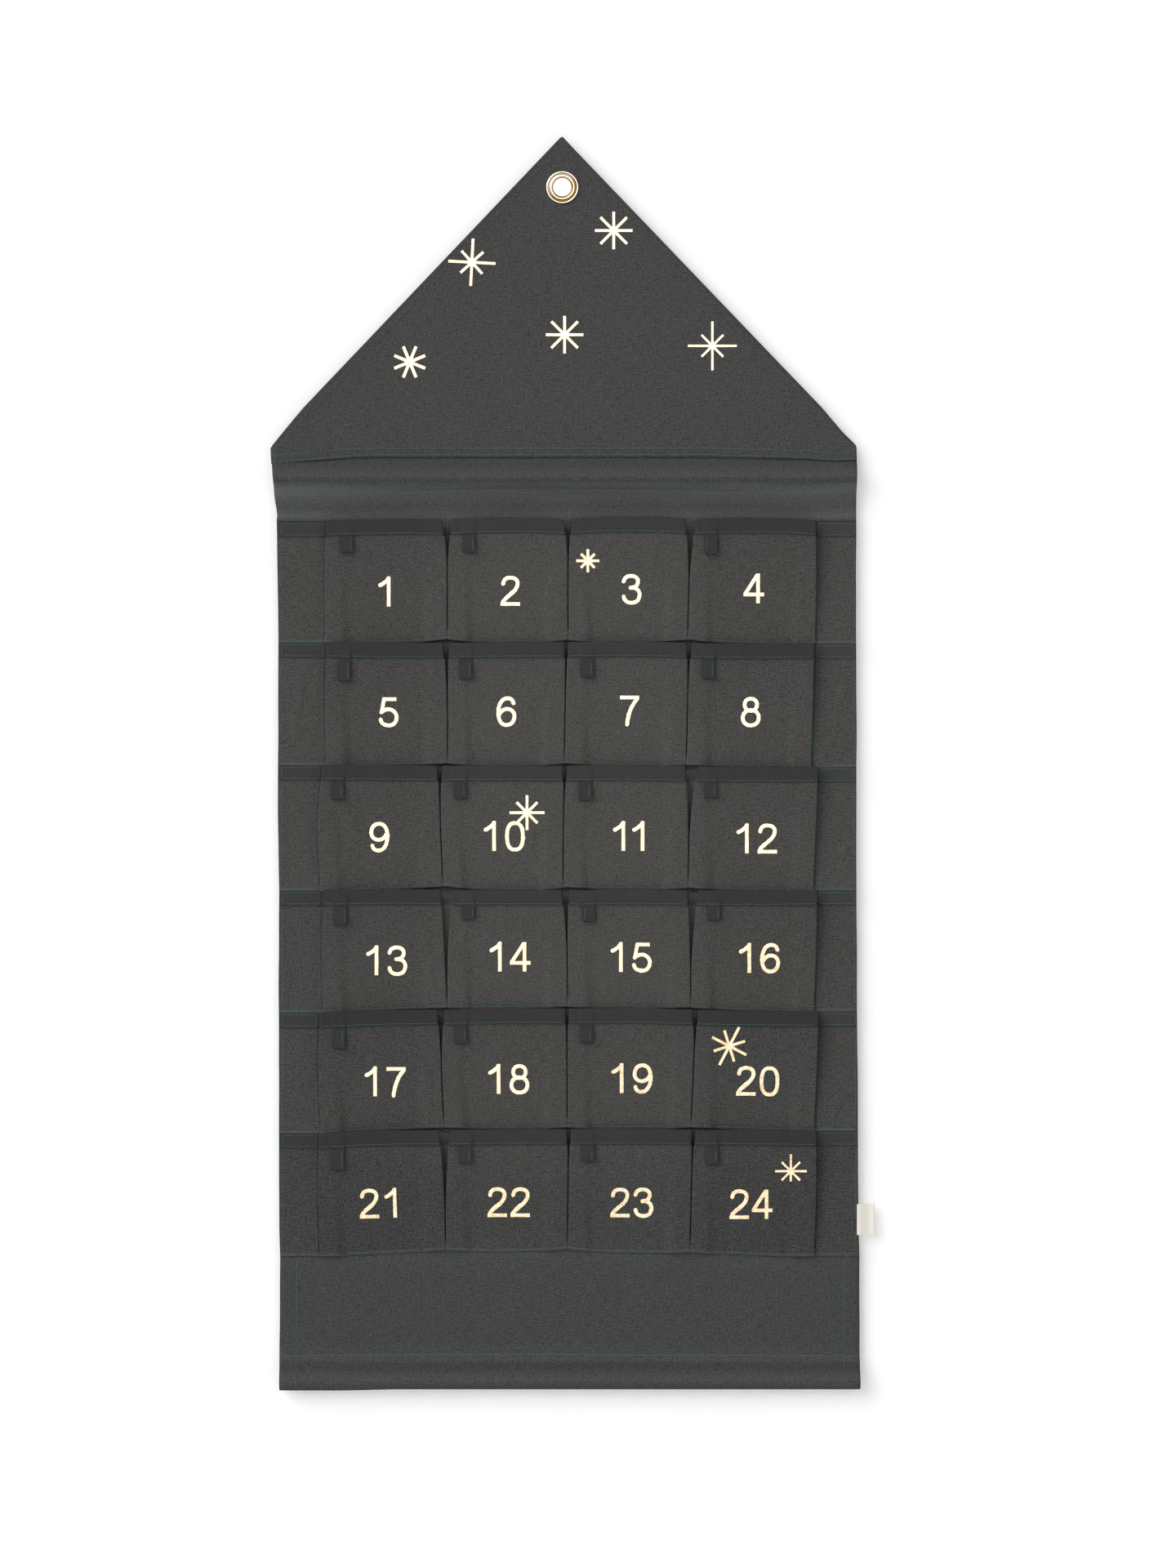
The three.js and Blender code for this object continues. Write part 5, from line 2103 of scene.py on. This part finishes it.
@dataclass
class Stage:
    """White wall, pale floor, soft lamps and the camera."""

    wall_y: float = 0.006
    floor_z: float = -1.25
    middle_x: float = 0.02
    wall_half: float = 1.6
    reach: float = 3.0
    centre: Point = (0.01996, -0.4627)
    frame_height: float = 1.2169
    lens: float = 150.0
    sensor: float = 36.0
    fill: float = 0.28
    glow: float = 0.24
    nail_glow: float = 0.74
    hole_edge: Point = (0.0075, 0.0100)
    lamps: Sequence[tuple[str, Trio, float, float]] = (
        ("key", (1.02, 1.0, -0.85), 1.99, 52),
        ("front", (0.0, 1.0, 0.12), 0.97, 85),
        ("rear", (0.25, -1.0, -0.7), 2.0, 60),
    )

    def _surface(self) -> Finish:
        """White that keeps shadows and clips to white elsewhere, with painted light behind the eyelet's hole
        where the roof's shadow falls, and isn't there from behind.

        Returns:
            The material.
        """
        paint = Paint("stage_white")
        lit = paint.node("ShaderNodeBsdfDiffuse", None, {"Color": (0.8, 0.8, 0.8, 1.0)})
        x, _, z = paint.split(paint.where())
        # Painted light on the wall behind the eyelet's hole, where the roof's shadow would fall.
        behind_hole = 1.0 - (x * x + z * z).root().between(*self.hole_edge)
        white = paint.blend((self.glow,) * 3, (self.nail_glow,) * 3, behind_hole)
        glow = paint.node("ShaderNodeEmission", None, {"Color": white, "Strength": 1.0})
        dull = paint.node("ShaderNodeEmission", None, {"Strength": 0.0})
        shown = paint.node("ShaderNodeMixShader", None, {0: paint.seen(), 1: dull, 2: glow})
        added = paint.node("ShaderNodeAddShader", None, {0: lit, 1: shown})
        clear = paint.node("ShaderNodeBsdfTransparent")
        rear = paint.node("ShaderNodeNewGeometry", None, None, "Backfacing")
        return paint.end(paint.node("ShaderNodeMixShader", None, {0: rear, 1: added, 2: clear}))

    def make(self) -> None:
        """Builds the stage."""
        bpy.context.scene.view_settings.view_transform = "Standard"
        finish = self._surface()
        upright = Matrix.Translation((self.middle_x, self.wall_y, self.floor_z + self.wall_half)) @ STAND
        level = Matrix.Translation((self.middle_x, 0, self.floor_z))
        pieces = []
        for name, place, depth in (("stage_wall", upright, self.wall_half),
                                   ("stage_floor", level, self.reach)):
            shape = bmesh.new()
            bmesh.ops.create_grid(shape, x_segments=1, y_segments=1, size=1.0,
                                  matrix=place @ Matrix.Diagonal((self.reach, depth, 1.0, 1.0)))
            pieces.append(to_object(shape, name, [finish]))
        pieces[0].visible_shadow = pieces[0].visible_diffuse = False
        self._light()
        self._camera()

    def _light(self) -> None:
        """Adds broad soft lamps from the upper left, from in front and from behind, and an even world."""
        for name, aim, strength, spread in self.lamps:
            lamp = bpy.data.lights.new(name, "SUN")
            lamp.energy, lamp.angle = strength, math.radians(spread)
            holder = bpy.data.objects.new(name, lamp)
            holder.rotation_euler = Vector(aim).to_track_quat("-Z", "Y").to_euler()
            bpy.context.scene.collection.objects.link(holder)
        paint = Paint("studio", world=True)
        fill, white = (paint.node("ShaderNodeBackground", None, {"Color": (1.0,) * 4, "Strength": strength})
                       for strength in (self.fill, 1.0))
        mixed = paint.node("ShaderNodeMixShader", None, {0: paint.seen(), 1: fill, 2: white})
        bpy.context.scene.world = paint.end(mixed)

    def _camera(self) -> None:
        """Sets the camera square in front, far off."""
        lens = bpy.data.cameras.new("camera")
        lens.lens, lens.sensor_width, lens.sensor_fit = self.lens, self.sensor, "VERTICAL"
        lens.sensor_height = self.sensor
        lens.clip_end = 50.0
        holder = bpy.data.objects.new("camera", lens)
        distance = self.frame_height * self.lens / self.sensor
        holder.matrix_world = Matrix.Translation((self.centre[0], -distance, self.centre[1])) @ STAND
        bpy.context.scene.collection.objects.link(holder)
        bpy.context.scene.camera = holder


@dataclass
class Calendar:
    """The whole calendar, piece by piece."""

    mouths: Floats = (-257.4, -353.44, -448.81, -543.24, -637.66, -732.09)
    seam_shifts: Sequence[Sequence[Trio]] = (
        ((2.3, 1, 1.1), (0.3, 0.5, 0.4), (1.6, 0.8, 1), (0.3, -0.6, -1.9), (0.4, 1, -0.2)),
        ((2.8, 1.2, 2.3), (-0.6, 0.4, 0.4), (-0.5, -1.2, -2.2), (-1.5, -1.8, -3.2), (-0.9, -1.4, -3.2)),
        ((-0.5, -4, -2.1), (-5.4, -5, -2.8), (-1.5, -2.6, -2.8), (-2.5, -1.2, -1.8), (2.2, 1, -1.5)),
        ((-0.2, -0.8, -0.2), (-1.6, -1.1, 0.4), (-2.1, -0.3, 0.3), (-0.3, 0.2, 0.6), (1.6, 1, -0.9)),
        ((-2.4, -4, -1.5), (-4.3, -4.3, -1.9), (0, -0.1, 0.3), (4, 3, 0.6), (2.8, 1.7, -0.9)),
        ((-3.4, -4, -2.7), (-0.9, -1.3, -0.9), (1.4, 0.9, 0.3), (2.5, 1.2, 0), (0.6, 1, -0.9)),
    )
    shut: Trio = (0, 0, 20)
    gapes: Sequence[Sequence[Trio]] = (
        ((3.2, 3.8, 34), (3.3, 1.5, 34), (3.2, 3.8, 48)),
        ((1.7, 1.8, 45), (0.7, 0.7, 40), (0.5, 2.2, 34)),
        ((1.1, 1.1, 34), (0.8, 0.8, 34), (0.6, 7.4, 58)),
        ((2.4, 5.5, 84), (1.3, 3.2, 48), (0.9, 6, 66)),
        ((2.1, 2.1, 40), (0.7, 0.7, 34), (1.5, 1.6, 34)),
        ((4, 2.9, 66), (0.8, 0.8, 34), (0.8, 0.8, 34)),
    )
    bottoms: Sequence[Scallops] = (
        ((-2.2, 0.4, 0, 0, -3), (-2.9, -2.5, -1.9, -3.5)),
        ((-1.3, 0.2, 0.2, -0.9, -2.7), (-1.8, -1.9, -1.9, -2.7)),
        ((-3.2, 0.6, -0.3, -0.9, -3), (-2.6, -2.9, -2.6, -3.3)),
        ((-3.5, 0.3, 1.4, 0.8, -2.4), (-1.7, -0.3, 0.1, -2.2)),
        ((-2.6, 2.2, 2.2, 2.2, -0.6), (-0.3, 0.6, 0.9, 0.1)),
        ((-3.2, 1.8, 2.4, 0.2, -2.9), (-1.2, 0.4, -0.6, -2.5)),
    )
    first_top: Scallops = ((-1.4, -0.8, -0.4, -0.6, -1.3), (-0.3, 1.1, 1.7, 0.7))
    strip_creases: Sequence[tuple[int, Crease]] = (
        (3, Crease((-160, -452), (-161.5, -496), 2, 0.9)),
        (3, Crease((-171, -470), (-163, -508), 2.6, 0.8)),
        (3, Crease((-163, -508), (-170, -534), 2.6, 0.6)),
        (3, Crease((-217, -466), (-197, -473), 2.6, 0.5)),
        (2, Crease((-170, -420), (-168, -445), 4, 0.5)),
        (2, Crease((-199.7, -366), (-209.9, -431), 3.2, 0.7)),
        (2, Crease((-220, -430), (-189, -441), 2.4, 0.45)),
        (1, Crease((-214, -330), (-196, -346), 3.5, 0.4)),
        (4, Crease((-216, -600), (-192, -612), 3, 0.4)),
        (5, Crease((-200, -650), (-206, -700), 3.2, 0.4)),
        (6, Crease((140, -752), (120, -765), 5, 0.6)),
        (6, Crease((-178, -745), (-160, -790), 5, 0.5)),
        (5, Crease((-178, -650), (-165, -690), 4.5, 0.5)),
        (1, Crease((-95, -271), (-118, -276), 3, 0.6)),
        (1, Crease((-84, -272), (-66, -284), 3, 0.5)),
        (4, Crease((15, -560), (40, -575), 5, 0.4)),
    )
    fades: Sequence[Line] = (
        ((0, 0.5), (0.5, 0.2), (1, -0.1)), ((0, 0.5), (0.5, 0.2), (1, -0.1)),
        ((0, 0.5), (0.5, 0.2), (1, 0)), ((0, 0.4), (0.5, 0.1), (1, -0.1)),
        ((0, 0.1), (1, -0.4)), ((0, -0.75), (0.4, -0.7), (1, -0.3)),
    )
    wing_fades: Floats = (-0.22, -0.22, -0.22, -0.42, -0.45, -0.85)
    seam_on_left: Sequence[int] = (4, 15)

    def make(self) -> None:
        """Builds and dresses every piece, and reports each one."""
        canvas = Canvas("roof_canvas", (0.0598, 0.0595, 0.0584), (0.0580, 0.0595, 0.0591)).make()
        panel_canvas = Canvas("panel_canvas", (0.0556, 0.0567, 0.0562), (0.0541, 0.0567, 0.0569)).make()
        pocket_canvas = Canvas("pocket_canvas", (0.0676, 0.0659, 0.0616), (0.0634, 0.0645, 0.0640)).make()
        hem_canvas = Canvas("hem_canvas", (0.0405, 0.0404, 0.0394), (0.0396, 0.0404, 0.0397), slub=0.35,
                            streak=0.5, fibre=0.4, relief=0.00004).make()
        tape = Tape("loop_tape", (0.0314, 0.0314, 0.0304)).make()
        thread = Thread(Twist("teal_thread", (0.055, 0.215, 0.200)).make())
        brass = Brass("eyelet_brass", (1.0, 0.93, 0.78), (0.21, 0.10, 0.012)).make()
        wood = Wood("dowel_wood", (0.60, 0.42, 0.23), (0.36, 0.22, 0.10)).make()
        label = Woven("label_ribbon", (0.84, 0.80, 0.71)).make()
        panel = BackPanel(panel_canvas)
        roof = Roof(canvas)
        self._report(*Eyelet(brass).make())
        panel_piece, roof_piece = panel.make(), roof.make()
        self._report(panel_piece, roof_piece)
        for body in ("upper_dowel", "lower_dowel"):
            self._report(Dowel(wood).make(body))
        strips = self._strips(panel, [pocket_canvas, hem_canvas])
        pieces = [strip.make() for strip in strips]
        self._report(*pieces)
        for strip, piece in zip(strips, pieces):
            tree = tree_of(piece, panel_piece)
            stitches = thread.sew(f"strip_stitches_{strip.row}", strip.stitches(), tree)
            self._report(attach(stitches, CALENDAR))
        rows = panel.seams() + panel.back_seams()
        rows += [row for strip in strips for row in strip.back_stitches()]
        self._report(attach(thread.sew("panel_stitches", rows, tree_of(panel_piece)), CALENDAR))
        # A darker copy of the teal thread for the roof's slopes: painted shade where those stitches sink into
        # the cloth.
        shaded_thread = Thread(Twist("shaded_thread", (0.022, 0.042, 0.041)).make())
        for name, used, rows in (("roof_stitches", thread, roof.edge_seams),
                                 ("slope_stitches", shaded_thread, roof.slope_seams)):
            sewn = used.sew(name, rows(Side.FRONT) + rows(Side.BACK), tree_of(roof_piece))
            self._report(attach(sewn, CALENDAR))
        for node in sorted(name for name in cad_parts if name.startswith("tape_loop_")):
            share = 0.2 if int(node[-2:]) in self.seam_on_left else 0.8
            loop = TapeLoop(node, tape, share)
            piece = loop.make()
            self._report(piece, loop.sew(thread, piece))
        self._report(SideLabel(label).make())
        foils = []
        for wear in Print:
            name = f"foil_{wear.name.lower()}"
            face = FoilPrint(name, (0.96, 0.85, 0.63), (0.66, 0.44, 0.19), wear)
            rim = FoilPrint(f"{name}_rim", (0.95, 0.72, 0.38), (0.45, 0.25, 0.08), wear, True)
            foils.append(Foil(face.make(), rim.make()))
        self._report(*Prints(*foils).make(tree_of(roof_piece, *pieces)))

    def _strips(self, panel: BackPanel, finishes: Sequence[Finish]) -> list[PocketStrip]:
        """The six strips, each lapping over the next.

        Args:
            panel: The back cloth.
            finishes: Materials of its two sides.

        Returns:
            The strips, from the top.
        """
        strips: list[PocketStrip] = []
        for index, mouth in enumerate(self.mouths):
            creases = [crease for row, crease in self.strip_creases if row == index + 1]
            strips.append(PocketStrip(index + 1, mouth, finishes, panel, self.seam_shifts[index],
                                      (self.shut, *self.gapes[index], self.shut), self.bottoms[index],
                                      None if strips else self.first_top, strips[-1] if strips else None,
                                      creases, fade=self.fades[index], wing_fade=self.wing_fades[index]))
        return strips

    @staticmethod
    def _report(*pieces: Piece) -> None:
        """Logs each finished piece."""
        for piece in pieces:
            log.info("%s: %d faces", piece.name, len(piece.data.polygons))


def main() -> None:
    """Builds the stage and the calendar."""
    logging.basicConfig(level=logging.INFO, format="%(name)s: %(message)s")
    Stage().make()
    Calendar().make()


if __name__ == "__main__":
    main()
